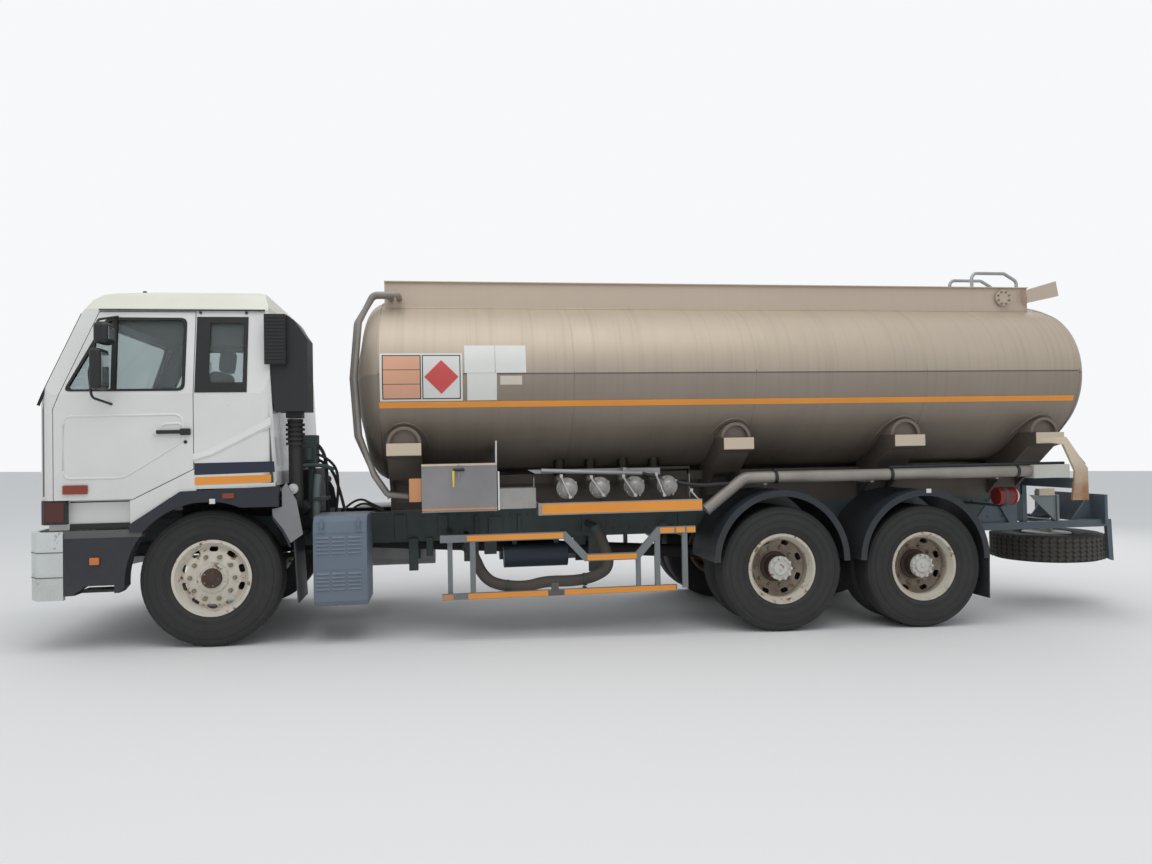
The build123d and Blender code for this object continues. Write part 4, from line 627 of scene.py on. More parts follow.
# %% Finish the solids
NODE_FINISHES = [
    (CAB_WHITE, "cab_front cab_shell door_left door_right"),
    (ROOF_WHITE, "cab_roof"),
    (DARK_PANEL, "wheel_flares front_mudguards"),
    (BUMPER_WHITE, "bumper"),
    (FENDER_BLUE, "rear_fenders"),
    (CHASSIS_GREY, "chassis_frame"),
    (BEARER_PAINT, "tank_bearers"),
    (AXLE_BLACK, "front_axle rear_axles knuckle_left knuckle_right track_rod engine_block"),
    (REAR_BLUE, "rear_frame"),
    (BATTERY_BLUE, "battery_box"),
    (POST_GREY, "side_guards"),
    (RIM_WHITE, "rim_front_left rim_front_right"),
    (RIM_CREAM, "rims_rear_1_left rims_rear_1_right rims_rear_2_left rims_rear_2_right"),
    (TYRE_RUBBER, "tyre_front_left tyre_front_right tyres_rear_1_left tyres_rear_1_right"
                  " tyres_rear_2_left tyres_rear_2_right spare_wheel"),
    (TANK_METAL, "tank_shell"),
    (COAMING_METAL, "tank_coaming manhole_rings manhole_lid_1 manhole_lid_2 manhole_lid_3 manhole_lid_4"),
    (HOSE_TUBE, "tank_pipes"),
    (GALVANISED, "ladder"),
    (SIDE_TANK_METAL, "side_tanks"),
    (OUTLET_ALLOY, "outlets"),
    (LOCKER_STEEL, "locker locker_door"),
    (BLACK_PLASTIC, "mirrors_left mirrors_right air_intake cab_lamps"),
    (TRIM_GREY, "dashboard"),
    (HOSE_BLACK, "air_duct"),
    (LENS_CLEAR, "lamps"),
    (WINDOW_GLASS, "cab_glass door_glass_left door_glass_right"),
]
finished = set()
for material, names in NODE_FINISHES:
    for name in names.split():
        node = NODES[name]
        node.data.materials.clear()
        node.data.materials.append(material)
        finished.add(name)
print("solids without a finish:", sorted(set(NODES) - finished))

# %% [markdown]
# Most added pieces are bent or pressed plate, round bar and small castings. The
# helpers below draw such forms in one mesh: a block, a plate cut to an outline,
# a turned disc and a tube along a path. A last helper gives the mesh its place,
# finish and body. Corners are rounded by a bevel, because a real edge always
# catches a thin line of light.

# %% Shape helpers


def block(bm, x0, x1, y0, y1, z0, z1):
    """Block between two corners; y0 and y1 may come in either order."""
    y0, y1 = sorted((y0, y1))
    size = Matrix.Diagonal((x1 - x0, y1 - y0, z1 - z0, 1))
    middle = Matrix.Translation(((x0 + x1) / 2, (y0 + y1) / 2, (z0 + z1) / 2))
    bmesh.ops.create_cube(bm, size=1, matrix=middle @ size)


def side_plate(bm, outline, y0, y1):
    """Plate with the outline points (x, z), from y0 to y1."""
    near = [bm.verts.new((x, y0, z)) for x, z in outline]
    far = [bm.verts.new((x, y1, z)) for x, z in outline]
    bm.faces.new(near)
    bm.faces.new(far[::-1])
    for i in range(len(near)):
        j = (i + 1) % len(near)
        bm.faces.new((near[j], near[i], far[i], far[j]))


def disc(bm, centre, radius, depth, direction=(0, -1, 0), sides=32, taper=1.0):
    """Round boss that stands from centre towards direction."""
    turn = Vector(direction).to_track_quat("Z", "Y").to_matrix().to_4x4()
    place = Matrix.Translation(centre) @ turn @ Matrix.Translation((0, 0, depth / 2))
    bmesh.ops.create_cone(bm, cap_ends=True, segments=sides, radius1=radius, radius2=radius * taper,
                          depth=depth, matrix=place)


def tube(bm, points, radius, sides=12):
    """Round bar along straight runs."""
    rings = []
    points = [Vector(p) for p in points]
    for i, point in enumerate(points):
        before = points[max(i - 1, 0)]
        after = points[min(i + 1, len(points) - 1)]
        turn = (after - before).to_track_quat("Z", "Y").to_matrix()
        rings.append([bm.verts.new(point + turn @ Vector((radius * cos(a), radius * sin(a), 0)))
                      for a in (2 * pi * k / sides for k in range(sides))])
    for one, two in zip(rings, rings[1:]):
        for k in range(sides):
            j = (k + 1) % sides
            bm.faces.new((one[k], one[j], two[j], two[k]))
    bm.faces.new(rings[0][::-1])
    bm.faces.new(rings[-1])


def strip(bm, points, width, y0, y1):
    """Flat strip of even width along the points (x, z)."""
    upper, lower = [], []
    for i, (x, z) in enumerate(points):
        a = points[max(i - 1, 0)]
        b = points[min(i + 1, len(points) - 1)]
        length = hypot(b[0] - a[0], b[1] - a[1])
        nx, nz = (a[1] - b[1]) / length * width / 2, (b[0] - a[0]) / length * width / 2
        upper.append((x + nx, z + nz))
        lower.append((x - nx, z - nz))
    side_plate(bm, upper + lower[::-1], y0, y1)


def place_piece(name, mesh, material, body, place, bevel=0.0):
    """Object at the origin with its place in its mesh, on its body."""
    mesh.transform(place)
    if place.determinant() < 0:
        mesh.flip_normals()
    mesh.materials.clear()
    mesh.materials.append(material)
    for face in mesh.polygons:
        face.use_smooth = True
    mesh.set_sharp_from_angle(angle=radians(35))
    piece = bpy.data.objects.new(name, mesh)
    scene.collection.objects.link(piece)
    if bevel:
        rounding = piece.modifiers.new("rounding", "BEVEL")
        rounding.width = bevel
        rounding.segments = 2
        rounding.limit_method = "ANGLE"
        rounding.angle_limit = radians(40)
        rounding.harden_normals = True
    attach(piece, body)
    return piece


def piece_of(name, bm, material, body, place=TO_CHASSIS, bevel=0.0):
    """Finished piece from a bmesh drawn level."""
    bmesh.ops.recalc_face_normals(bm, faces=bm.faces)
    mesh = bpy.data.meshes.new(name)
    bm.to_mesh(mesh)
    bm.free()
    return place_piece(name, mesh, material, body, place, bevel)


def draw(name, material, body, slot, *forms, place=TO_CHASSIS, bevel=0.0):
    """Finished piece from forms, each a helper and its values."""
    bm = bmesh.new()
    for form, *values in forms:
        form(bm, *values)
    return piece_of(name, bm, material, body, place, bevel)


def hose(name, points, radius, material, body, place=TO_CHASSIS):
    """Smooth hose or bent pipe through space, as a plain mesh."""
    curve = bpy.data.curves.new(name, "CURVE")
    curve.dimensions = "3D"
    curve.bevel_depth = radius
    curve.bevel_resolution = 4
    curve.use_fill_caps = True
    line = curve.splines.new("NURBS")
    line.points.add(len(points) - 1)
    for point, at in zip(line.points, points):
        point.co = (*at, 1)
    line.order_u = 3
    line.use_endpoint_u = True
    line.resolution_u = 10
    holder = bpy.data.objects.new(name, curve)
    mesh = bpy.data.meshes.new_from_object(holder)
    bpy.data.objects.remove(holder)
    mesh.name = name
    return place_piece(name, mesh, material, body, place)


# %% [markdown]
# Wheel nuts, tread blocks, rivets and slats all repeat one small form along a
# circle or a line. Geometry Nodes are made for that: a circle or a line of
# points, an instance on each, and Realize Instances at the end so that the
# result is a real mesh. Each tree names its sizes as inputs.

# %% Tree for a ring of nuts


def new_tree(name, inputs):
    """Empty geometry tree; inputs are (name, kind, default)."""
    tree = bpy.data.node_groups.new(name, "GeometryNodeTree")
    tree.interface.new_socket(name="Geometry", in_out="OUTPUT", socket_type="NodeSocketGeometry")
    for label, kind, default in inputs:
        socket = tree.interface.new_socket(name=label, in_out="INPUT", socket_type="NodeSocket" + kind)
        socket.default_value = default
    socket = tree.interface.new_socket(name="Finish", in_out="INPUT", socket_type="NodeSocketMaterial")
    return tree, tree.nodes.new("NodeGroupInput"), tree.nodes.new("NodeGroupOutput")


def end_tree(tree, given, result, geometry):
    """Realize Instances and Set Material close every tree."""
    real = tree.nodes.new("GeometryNodeRealizeInstances")
    paint = tree.nodes.new("GeometryNodeSetMaterial")
    tree.links.new(geometry, real.inputs[0])
    tree.links.new(real.outputs[0], paint.inputs["Geometry"])
    tree.links.new(given.outputs["Finish"], paint.inputs["Material"])
    tree.links.new(paint.outputs[0], result.inputs[0])


def copies_tree(name, inputs, points_kind, form_kind, links):
    """Tree that puts one form on points; links are (input, whether on the form, socket)."""
    tree, given, result = new_tree(name, inputs)
    points, form = tree.nodes.new(points_kind), tree.nodes.new(form_kind)
    on_points = tree.nodes.new("GeometryNodeInstanceOnPoints")
    for label, on_form, socket in links:
        tree.links.new(given.outputs[label], (points, form)[on_form].inputs[socket])
    tree.links.new(points.outputs[0], on_points.inputs["Points"])
    tree.links.new(form.outputs[0], on_points.inputs["Instance"])
    end_tree(tree, given, result, on_points.outputs[0])
    return tree


nut_ring = copies_tree(
    "ring_of_nuts", [("Count", "Int", 10), ("Ring Radius", "Float", 0.14), ("Nut Radius", "Float", 0.017),
                     ("Nut Height", "Float", 0.02), ("Nut Sides", "Int", 6)],
    "GeometryNodeMeshCircle", "GeometryNodeMeshCylinder",
    [("Count", 0, "Vertices"), ("Ring Radius", 0, "Radius"), ("Nut Sides", 1, "Vertices"),
     ("Nut Radius", 1, "Radius"), ("Nut Height", 1, "Depth")])

# %% Trees for a row of blocks and a row of bolts
block_row = copies_tree(
    "row_of_blocks", [("Count", "Int", 6), ("Step", "Vector", (0, 0, 0.05)),
                      ("Size", "Vector", (0.1, 0.01, 0.02))],
    "GeometryNodeMeshLine", "GeometryNodeMeshCube",
    [("Count", 0, "Count"), ("Step", 0, "Offset"), ("Size", 1, "Size")])
bolt_row = copies_tree(
    "row_of_bolts", [("Count", "Int", 12), ("Step", "Vector", (0.1, 0, 0)), ("Radius", "Float", 0.011),
                     ("Height", "Float", 0.02), ("Sides", "Int", 6)],
    "GeometryNodeMeshLine", "GeometryNodeMeshCylinder",
    [("Count", 0, "Count"), ("Step", 0, "Offset"), ("Radius", 1, "Radius"), ("Height", 1, "Depth"),
     ("Sides", 1, "Vertices")])

# %% Tree for tyre tread
tread_tree, given, result = new_tree("tyre_tread", [
    ("Blocks Round", "Int", 52), ("Tyre Radius", "Float", 0.525), ("Ribs", "Int", 5),
    ("Rib Step", "Float", 0.042), ("Block Size", "Vector", (0.012, 0.036, 0.05)), ("Turn", "Float", 0.0)])
circle = tread_tree.nodes.new("GeometryNodeMeshCircle")
ribs = tread_tree.nodes.new("GeometryNodeMeshLine")
lug = tread_tree.nodes.new("GeometryNodeMeshCube")
across = tread_tree.nodes.new("GeometryNodeInstanceOnPoints")
around = tread_tree.nodes.new("GeometryNodeInstanceOnPoints")
step = tread_tree.nodes.new("ShaderNodeCombineXYZ")
start = tread_tree.nodes.new("ShaderNodeCombineXYZ")
reach = add_node(tread_tree, "ShaderNodeMath", "SUBTRACT", _1=1.0)
half_reach = tread_tree.nodes.new("ShaderNodeMath")
half_reach.operation = "MULTIPLY"
back = add_node(tread_tree, "ShaderNodeMath", "MULTIPLY", _1=-0.5)
angle = tread_tree.nodes.new("ShaderNodeMath")
angle.operation = "MULTIPLY"
share = add_node(tread_tree, "ShaderNodeMath", "DIVIDE", _0=2 * pi)
index = tread_tree.nodes.new("GeometryNodeInputIndex")
turn = tread_tree.nodes.new("ShaderNodeCombineXYZ")
slant = tread_tree.nodes.new("ShaderNodeCombineXYZ")
# From a node's output to a node's input
TREAD_LINKS = [
    (given, "Blocks Round", circle, "Vertices"), (given, "Tyre Radius", circle, "Radius"),
    (given, "Ribs", ribs, "Count"), (given, "Rib Step", step, "Z"), (step, 0, ribs, "Offset"),
    (given, "Ribs", reach, 0), (reach, 0, half_reach, 0), (given, "Rib Step", half_reach, 1),
    (half_reach, 0, back, 0), (back, 0, start, "Z"), (start, 0, ribs, "Start Location"),
    (given, "Block Size", lug, "Size"), (given, "Turn", slant, "X"), (ribs, 0, across, "Points"),
    (lug, 0, across, "Instance"), (slant, 0, across, "Rotation"), (given, "Blocks Round", share, 1),
    (index, 0, angle, 0), (share, 0, angle, 1), (angle, 0, turn, "Z"), (circle, 0, around, "Points"),
    (across, 0, around, "Instance"), (turn, 0, around, "Rotation")]
for source, out, target, into in TREAD_LINKS:
    tread_tree.links.new(source.outputs[out], target.inputs[into])
end_tree(tread_tree, given, result, around.outputs[0])
print("geometry trees", [t.name for t in (nut_ring, block_row, bolt_row, tread_tree)])

# %% Grow a tree into a plain mesh


def grow(tree, material, **values):
    """Mesh that a tree makes with these inputs; underscores stand for spaces."""
    holder = bpy.data.objects.new(tree.name, bpy.data.meshes.new(tree.name))
    scene.collection.objects.link(holder)
    modifier = holder.modifiers.new("grow", "NODES")
    modifier.node_group = tree
    names = {s.name: s.identifier for s in tree.interface.items_tree if s.in_out == "INPUT"}
    for key, value in values.items():
        modifier[names[key.replace("_", " ")]] = value
    modifier[names["Finish"]] = material
    bpy.context.view_layer.update()
    seen_now = holder.evaluated_get(bpy.context.evaluated_depsgraph_get())
    mesh = bpy.data.meshes.new_from_object(seen_now)
    bpy.data.objects.remove(holder)
    return mesh


def grown_piece(name, meshes, material, body, place=TO_CHASSIS, bevel=0.0):
    """One piece from several (mesh, local place) pairs."""
    bm = bmesh.new()
    for mesh, local in meshes:
        mesh.transform(local)
        bm.from_mesh(mesh)
        bpy.data.meshes.remove(mesh)
    return piece_of(name, bm, material, body, place, bevel)


def facing(x, y, z, side):
    """Place whose local Z points outwards on the side -1 or +1."""
    return Matrix.Translation((x, y, z)) @ Matrix.Rotation(-side * pi / 2, 4, "X")


# %% [markdown]
# Each wheel has ten nuts. A front wheel has a brown hub cap, and a rear wheel
# the round flange of its half shaft in a deep dish. Tread blocks stand in five
# ribs just above the tyre's plain drum. All of it rides on the wheel's own body.

# %% Wheels
WHEELS = [("front_" + side, 0.0, sign, [FRONT_TRACK_HALF], "wheel_front_" + side)
          for side, sign in SIDES.items()]
WHEELS += [("rear_" + axle + "_" + side, x, sign, [REAR_OUTER_HALF, REAR_INNER_HALF],
            "wheels_rear_" + axle + "_" + side)
           for axle, x in REAR_AXLES.items() for side, sign in SIDES.items()]
TYRE_R = 0.53
TREAD_DEEP = 0.008
TREAD_SINK = 0.0055
NUT_RING_R = 0.1675


def tread_for(blocks, turn):
    """Tread of one road tyre."""
    return grow(tread_tree, TYRE_RUBBER, Blocks_Round=blocks, Tyre_Radius=TYRE_R - TREAD_SINK, Ribs=5,
                Rib_Step=0.036, Block_Size=(TREAD_DEEP, 0.046, 0.031), Turn=turn)


# Sidewall of the tyre: radius and distance from the tyre's middle plane
SIDEWALL = [(0.323, 0.126), (0.361, 0.138), (0.420, 0.142), (0.490, 0.132), (0.522, 0.110)]


def sidewall_at(radius):
    """Distance of the sidewall from the tyre's middle plane at this radius."""
    for (r0, y0), (r1, y1) in zip(SIDEWALL, SIDEWALL[1:]):
        if r0 <= radius <= r1:
            return y0 + (y1 - y0) * (radius - r0) / (r1 - r0)


def moulded_ring(bm, x, y, sign, radius, wide, rise, sides=72):
    """Low raised ring on a tyre's outer sidewall."""
    inner, outer, top = radius - wide / 2, radius + wide / 2, sidewall_at(radius) + rise
    section = [(inner, sidewall_at(inner) - 0.002), (radius - wide / 4, top),
               (radius + wide / 4, top), (outer, sidewall_at(outer) - 0.002)]
    loops = [[bm.verts.new((x + r * cos(a), y + sign * out, AXLE_Z + r * sin(a))) for r, out in section]
             for a in (2 * pi * k / sides for k in range(sides))]
    for one, two in zip(loops, loops[1:] + loops[:1]):
        for k in range(len(section)):
            j = (k + 1) % len(section)
            bm.faces.new((one[k], one[j], two[j], two[k]))


# Rings moulded on a sidewall: radius, width and rise
SIDEWALL_RINGS = [(0.338, 0.010, 0.003), (0.352, 0.004, 0.002), (0.405, 0.005, 0.002),
                  (0.462, 0.006, 0.0025), (0.472, 0.004, 0.002), (0.506, 0.010, 0.003)]
for label, x, sign, halves, body in WHEELS:
    draw("sidewall_rings_" + label, TYRE_RUBBER, body, "tyre",
         *((moulded_ring, x, sign * halves[0], sign, *ring) for ring in SIDEWALL_RINGS), place=TO_ROAD)
    treads = [(tread_for(62, 0.35), facing(x, sign * half, AXLE_Z, sign)) for half in halves]
    grown_piece("tread_" + label, treads, TYRE_RUBBER, body, TO_ROAD)
    front = label.startswith("front")
    disc_y = sign * (FRONT_TRACK_HALF + 0.070 + 0.016) if front else sign * (REAR_OUTER_HALF - 0.070)
    nuts = grow(nut_ring, NUT_STEEL, Count=10, Ring_Radius=NUT_RING_R, Nut_Radius=0.018, Nut_Height=0.044)
    studs = grow(nut_ring, NUT_STEEL, Count=10, Ring_Radius=NUT_RING_R, Nut_Radius=0.010, Nut_Height=0.064,
                 Nut_Sides=10)
    grown_piece("nuts_" + label,
                [(nuts, facing(x, disc_y, AXLE_Z, sign)), (studs, facing(x, disc_y, AXLE_Z, sign))],
                NUT_STEEL, body, TO_ROAD, 0.0015)
    out = (0, sign, 0)
    if front:
        draw("hub_seat_" + label, RIM_WHITE, body, "rim_paint",
             (disc, (x, sign * (FRONT_TRACK_HALF + 0.084), AXLE_Z), 0.118, 0.018, out, 48, 0.93),
             place=TO_ROAD, bevel=0.003)
        draw("hub_cap_" + label, CAP_BROWN, body, "rim_paint",
             (disc, (x, sign * (FRONT_TRACK_HALF + 0.10), AXLE_Z), 0.078, 0.040, out, 40, 0.93),
             (disc, (x, sign * (FRONT_TRACK_HALF + 0.138), AXLE_Z), 0.05, 0.006, out, 24, 0.8),
             place=TO_ROAD, bevel=0.004)
        small = grow(nut_ring, NUT_STEEL, Count=5, Ring_Radius=0.056, Nut_Radius=0.007, Nut_Height=0.012)
        cap_y = sign * (FRONT_TRACK_HALF + 0.141)
        grown_piece("cap_bolts_" + label, [(small, facing(x, cap_y, AXLE_Z, sign))], NUT_STEEL, body,
                    TO_ROAD)
    else:
        draw("shaft_flange_" + label, FLANGE_WHITE, body, "rim_paint",
             (disc, (x, sign * (REAR_OUTER_HALF + 0.055), AXLE_Z), 0.103, 0.022, out, 40, 0.97),
             (disc, (x, sign * (REAR_OUTER_HALF + 0.077), AXLE_Z), 0.062, 0.012, out, 32, 0.9),
             (disc, (x, sign * (REAR_OUTER_HALF + 0.089), AXLE_Z), 0.018, 0.008, out, 16, 0.8),
             place=TO_ROAD, bevel=0.003)
        small = grow(nut_ring, FLANGE_WHITE, Count=11, Ring_Radius=0.091, Nut_Radius=0.0135, Nut_Height=0.026)
        cap_y = sign * (REAR_OUTER_HALF + 0.082)
        grown_piece("flange_bolts_" + label, [(small, facing(x, cap_y, AXLE_Z, sign))], FLANGE_WHITE, body,
                    TO_ROAD, 0.001)
        draw("hub_barrel_" + label, RUSTY_CORE, body, "rim_paint",
             (disc, (x, sign * (REAR_OUTER_HALF - 0.075), AXLE_Z), 0.138, 0.03, out, 40, 0.92),
             (disc, (x, sign * (REAR_OUTER_HALF - 0.055), AXLE_Z), 0.10, 0.11, out, 40, 0.9),
             place=TO_ROAD, bevel=0.004)
print("wheels dressed", len(WHEELS))

# %% [markdown]
# The tank's long side carries an orange reflective strip, the welded seam above
# it and blank sign plates near the front. They follow the curve of the barrel,
# so each one samples the barrel's outline: flat arcs above and below joined by
# tighter arcs at the sides.

# %% Tank outline
TANK_HALF = 1.22
TANK_MID_Z = 2.09
TANK_UP = 0.745
TANK_DOWN = 0.85
TANK_SIDE_R = 0.6
TANK_FRONT = 1.283
TANK_REAR = 7.46


def tank_half_width(z):
    """Half width of the barrel at chassis height z."""
    height = abs(z - TANK_MID_Z)
    rise = TANK_UP if z > TANK_MID_Z else TANK_DOWN
    reach = TANK_HALF - TANK_SIDE_R
    big = (reach ** 2 + rise ** 2 - TANK_SIDE_R ** 2) / (2 * (rise - TANK_SIDE_R))
    drop = big - rise
    join = drop * TANK_SIDE_R / (big - TANK_SIDE_R)
    if height < join + 1e-9:
        return reach + (TANK_SIDE_R ** 2 - height ** 2) ** 0.5
    return max(big ** 2 - (height + drop) ** 2, 0) ** 0.5


def wrapped(bm, x0, x1, z0, z1, side, lift, steps=6):
    """Thin plate that follows the barrel's side between two heights."""
    rows = []
    for i in range(steps + 1):
        z = z0 + (z1 - z0) * i / steps
        y = tank_half_width(z)
        rows.append([(x, side * (y + out), z) for out in (0.0005, lift) for x in (x0, x1)])
    made = [[bm.verts.new(p) for p in row] for row in rows]
    for a, b in zip(made, made[1:]):
        bm.faces.new((a[2], a[3], b[3], b[2]))
        bm.faces.new((a[0], b[0], b[1], a[1]))
        bm.faces.new((a[0], a[2], b[2], b[0]))
        bm.faces.new((a[1], b[1], b[3], a[3]))
    for row in (made[0], made[-1]):
        bm.faces.new((row[0], row[1], row[3], row[2]))


# %% Strip, seams and blank signs
SIGN_LIFT = 0.004
for side_name, side in SIDES.items():
    draw("tank_strip_" + side_name, TAPE_ORANGE, "chassis", "tank_metal",
         (wrapped, 1.29, 7.42, 1.832, 1.879, side, 0.003))
    draw("tank_seam_" + side_name, FADED_GREY, "chassis", "tank_metal",
         (wrapped, 1.29, 7.44, SEAM_Z - 0.004, SEAM_Z + 0.004, side, 0.003, 2))
SIGN_SQUARES = [(1.968, 2.213, 2.106, 2.333), (2.217, 2.465, 2.106, 2.333), (1.988, 2.226, 1.887, 2.104)]
draw("sign_plates", WHITE_SIGN, "chassis", "tank_metal",
     (wrapped, 1.300, 1.952, 1.885, 2.268, -1, SIGN_LIFT),
     *((wrapped, x0, x1, z0, z1, -1, SIGN_LIFT, 4) for x0, x1, z0, z1 in SIGN_SQUARES))
draw("sign_frames", BLACK_LINE, "chassis", "tank_metal",
     (wrapped, 1.318, 1.622, 1.900, 2.253, -1, SIGN_LIFT + 0.001),
     (wrapped, 1.632, 1.936, 1.900, 2.253, -1, SIGN_LIFT + 0.001))
draw("sign_white_field", WHITE_SIGN, "chassis", "tank_metal",
     (wrapped, 1.640, 1.928, 1.908, 2.245, -1, SIGN_LIFT + 0.002))
bm = bmesh.new()
for row in range(3):
    low = 1.908 + row * 0.114
    wrapped(bm, 1.326, 1.614, low, low + 0.109, -1, SIGN_LIFT + 0.002, 3)
piece_of("sign_salmon_fields", bm, SALMON_SIGN, "chassis")
bm = bmesh.new()
DIAMOND = (1.784, 2.076, 0.135)
mid_x, mid_z, half = DIAMOND
steps = 8
rows = []
for i in range(2 * steps + 1):
    z = mid_z - half + half * i / steps
    wide = half - abs(z - mid_z) + 0.0005
    y = tank_half_width(z) + SIGN_LIFT + 0.0035
    rows.append([bm.verts.new((mid_x + s * wide, -y + deep, z)) for deep in (0, 0.003) for s in (-1, 1)])
for a, b in zip(rows, rows[1:]):
    bm.faces.new((a[0], a[1], b[1], b[0]))
    bm.faces.new((a[3], a[2], b[2], b[3]))
    bm.faces.new((a[2], a[0], b[0], b[2]))
    bm.faces.new((a[1], a[3], b[3], b[1]))
for row in (rows[0], rows[-1]):
    bm.faces.new((row[0], row[1], row[3], row[2]))
piece_of("sign_diamond", bm, RED_SIGN, "chassis")
draw("bare_patch", PALE_PATCH, "chassis", "tank_metal", (wrapped, 2.254, 2.431, 2.010, 2.082, -1, 0.002, 3))
print("tank half width at strip", round(tank_half_width(1.855), 3))

# %% [markdown]
# The cab keeps its plain pressed panels from the solids. What makes it look real
# is the trim: black rubber round each window, the dark and orange stripes behind
# the door, the pull handle, lamps and the pressed line on the door.

# %% Window rubbers


def ring_of(bm, points, width, thick, place):
    """Flat frame round the outline points (u, v); place turns (u, v, out) into space."""
    middle_u = sum(p[0] for p in points) / len(points)
    middle_v = sum(p[1] for p in points) / len(points)
    loops = []
    for grow_by, out in ((width, 0.0), (width, thick), (-width, thick), (-width, -0.02)):
        loop = []
        for u, v in points:
            reach = hypot(u - middle_u, v - middle_v)
            far_u = u + (u - middle_u) / reach * grow_by
            far_v = v + (v - middle_v) / reach * grow_by
            loop.append(bm.verts.new(place(far_u, far_v, out)))
        loops.append(loop)
    for one, two in zip(loops, loops[1:]):
        for i in range(len(points)):
            j = (i + 1) % len(points)
            bm.faces.new((one[i], one[j], two[j], two[i]))


CAB_HALF = 1.235
TAPE_LIFT = 0.003
MIRROR_Y = 1.4
EAVE_HALF = 1.12
EAVE_Z = 2.62
LEAN = (CAB_HALF - EAVE_HALF) / (EAVE_Z - BELT_Z)


def on_side(side):
    """Place on the cab's side, which leans in above the belt line."""
    return lambda x, z, out: (x, side * (CAB_HALF - LEAN * max(z - BELT_Z, 0) + out), z)


def skin_plate(bm, outline, place, inner, outer):
    """Plate of the outline points (u, v) between two distances from a skin."""
    near = [bm.verts.new(place(u, v, outer)) for u, v in outline]
    far = [bm.verts.new(place(u, v, inner)) for u, v in outline]
    bm.faces.new(near)
    bm.faces.new(far[::-1])
    for i in range(len(near)):
        j = (i + 1) % len(near)
        bm.faces.new((near[j], near[i], far[i], far[j]))


def rounded_outline(points, radius, steps=5):
    """Outline with its corners rounded by arcs."""
    result_points = []
    count = len(points)
    for i in range(count):
        here = Vector(points[i])
        before = (Vector(points[i - 1]) - here).normalized()
        after = (Vector(points[(i + 1) % count]) - here).normalized()
        start, end = here + before * radius, here + after * radius
        for k in range(steps + 1):
            t = k / steps
            blended = start * (1 - t) ** 2 + here * 2 * t * (1 - t) + end * t ** 2
            result_points.append((blended.x, blended.y))
    return result_points


DOOR_WINDOW = [(-1.010, 1.990), (-0.170, 1.990), (-0.170, 2.545), (-0.735, 2.545)]
# Strips round the pane behind the door: x0, x1, z0, z1
QUARTER_STRIPS = [(-0.087, 0.014, 1.966, 2.563), (0.264, 0.296, 1.966, 2.563),
                  (0.014, 0.264, 1.966, 2.044), (0.014, 0.264, 2.514, 2.563)]
for side_name, side in SIDES.items():
    draw("door_seal_" + side_name, SEAL_RUBBER, "door_" + side_name, "black_plastic",
         (ring_of, rounded_outline(DOOR_WINDOW, 0.05), 0.014, 0.004, on_side(side)),
         (skin_plate, [(-0.690, 1.985), (-0.655, 1.985), (-0.668, 2.548), (-0.703, 2.548)], on_side(side),
          -0.03, 0.003))
    draw("quarter_seal_" + side_name, SEAL_RUBBER, "cab", "black_plastic",
         *((skin_plate, [(x0, z0), (x1, z0), (x1, z1), (x0, z1)], on_side(side), -0.01, 0.004)
           for x0, x1, z0, z1 in QUARTER_STRIPS))

# %% Stripes, handle and marker lamps
for side_name, side in SIDES.items():
    draw("navy_stripe_" + side_name, TAPE_NAVY, "cab", "cab_paint",
         (side_plate, [(-0.092, 1.335), (0.498, 1.345), (0.494, 1.428), (-0.092, 1.425)], side * CAB_HALF,
          side * (CAB_HALF + TAPE_LIFT)))
    draw("orange_stripe_" + side_name, TAPE_ORANGE, "cab", "cab_paint",
         (side_plate, [(-0.090, 1.258), (0.470, 1.268), (0.470, 1.326), (-0.090, 1.318)], side * CAB_HALF,
          side * (CAB_HALF + TAPE_LIFT)))
    draw("pull_handle_" + side_name, BLACK_PLASTIC, "door_" + side_name, "black_plastic",
         (block, -0.360, -0.180, side * (CAB_HALF + 0.001), side * (CAB_HALF + 0.028), 1.653, 1.682),
         (block, -0.190, -0.115, side * (CAB_HALF + 0.001), side * (CAB_HALF + 0.028), 1.642, 1.692),
         bevel=0.006)
    y0, y1 = side * (CAB_HALF + 0.001), side * (CAB_HALF + 0.02)
    draw("repeater_" + side_name, LENS_DULL, "door_" + side_name, "lamp_plastic",
         (block, -1.024, -0.850, y0, y1, 1.210, 1.278), bevel=0.006)
    draw("side_marker_" + side_name, LENS_AMBER, "chassis", "lamp_plastic",
         (block, -0.841, -0.772, y0, y1, 0.678, 0.733), bevel=0.006)
print("cab trim placed on both sides")

# %% Orange strips on the guards and the tray
GUARD_FACE = 1.215
# The right guard starts further back, behind the fuel tank
GUARD_START = {"left": 0.0, "right": 2.5}
# Level strips: first and last x and height
GUARD_STRIPS = [(1.966, 2.744, 0.778), (2.94, 3.352, 0.589), (3.555, 3.674, 0.792), (3.690, 3.765, 0.792),
                (3.782, 3.856, 0.792), (1.968, 2.612, 0.316), (2.746, 3.677, 0.316)]
for side_name, side in SIDES.items():
    draw("guard_strips_" + side_name, TAPE_ORANGE, "chassis", "frame_paint",
         *((strip, [(max(x0, GUARD_START[side_name]), z), (x1, z)], 0.043, side * GUARD_FACE,
            side * (GUARD_FACE + TAPE_LIFT)) for x0, x1, z in GUARD_STRIPS))
draw("tray_strip", TAPE_ORANGE, "chassis", "outlet_metal",
     (strip, [(2.575, 0.995), (3.915, 0.995)], 0.078, -1.2205, -1.2235))

# %% [markdown]
# The door panel of this cab is pressed: a raised line runs round it and a crease
# climbs the panel behind the door. A rolled bead laid on the flat panel gives the
# same highlight. Small items round it are a key lock, the gutter with two bolts,
# a lamp base on the roof and markers on the flare.

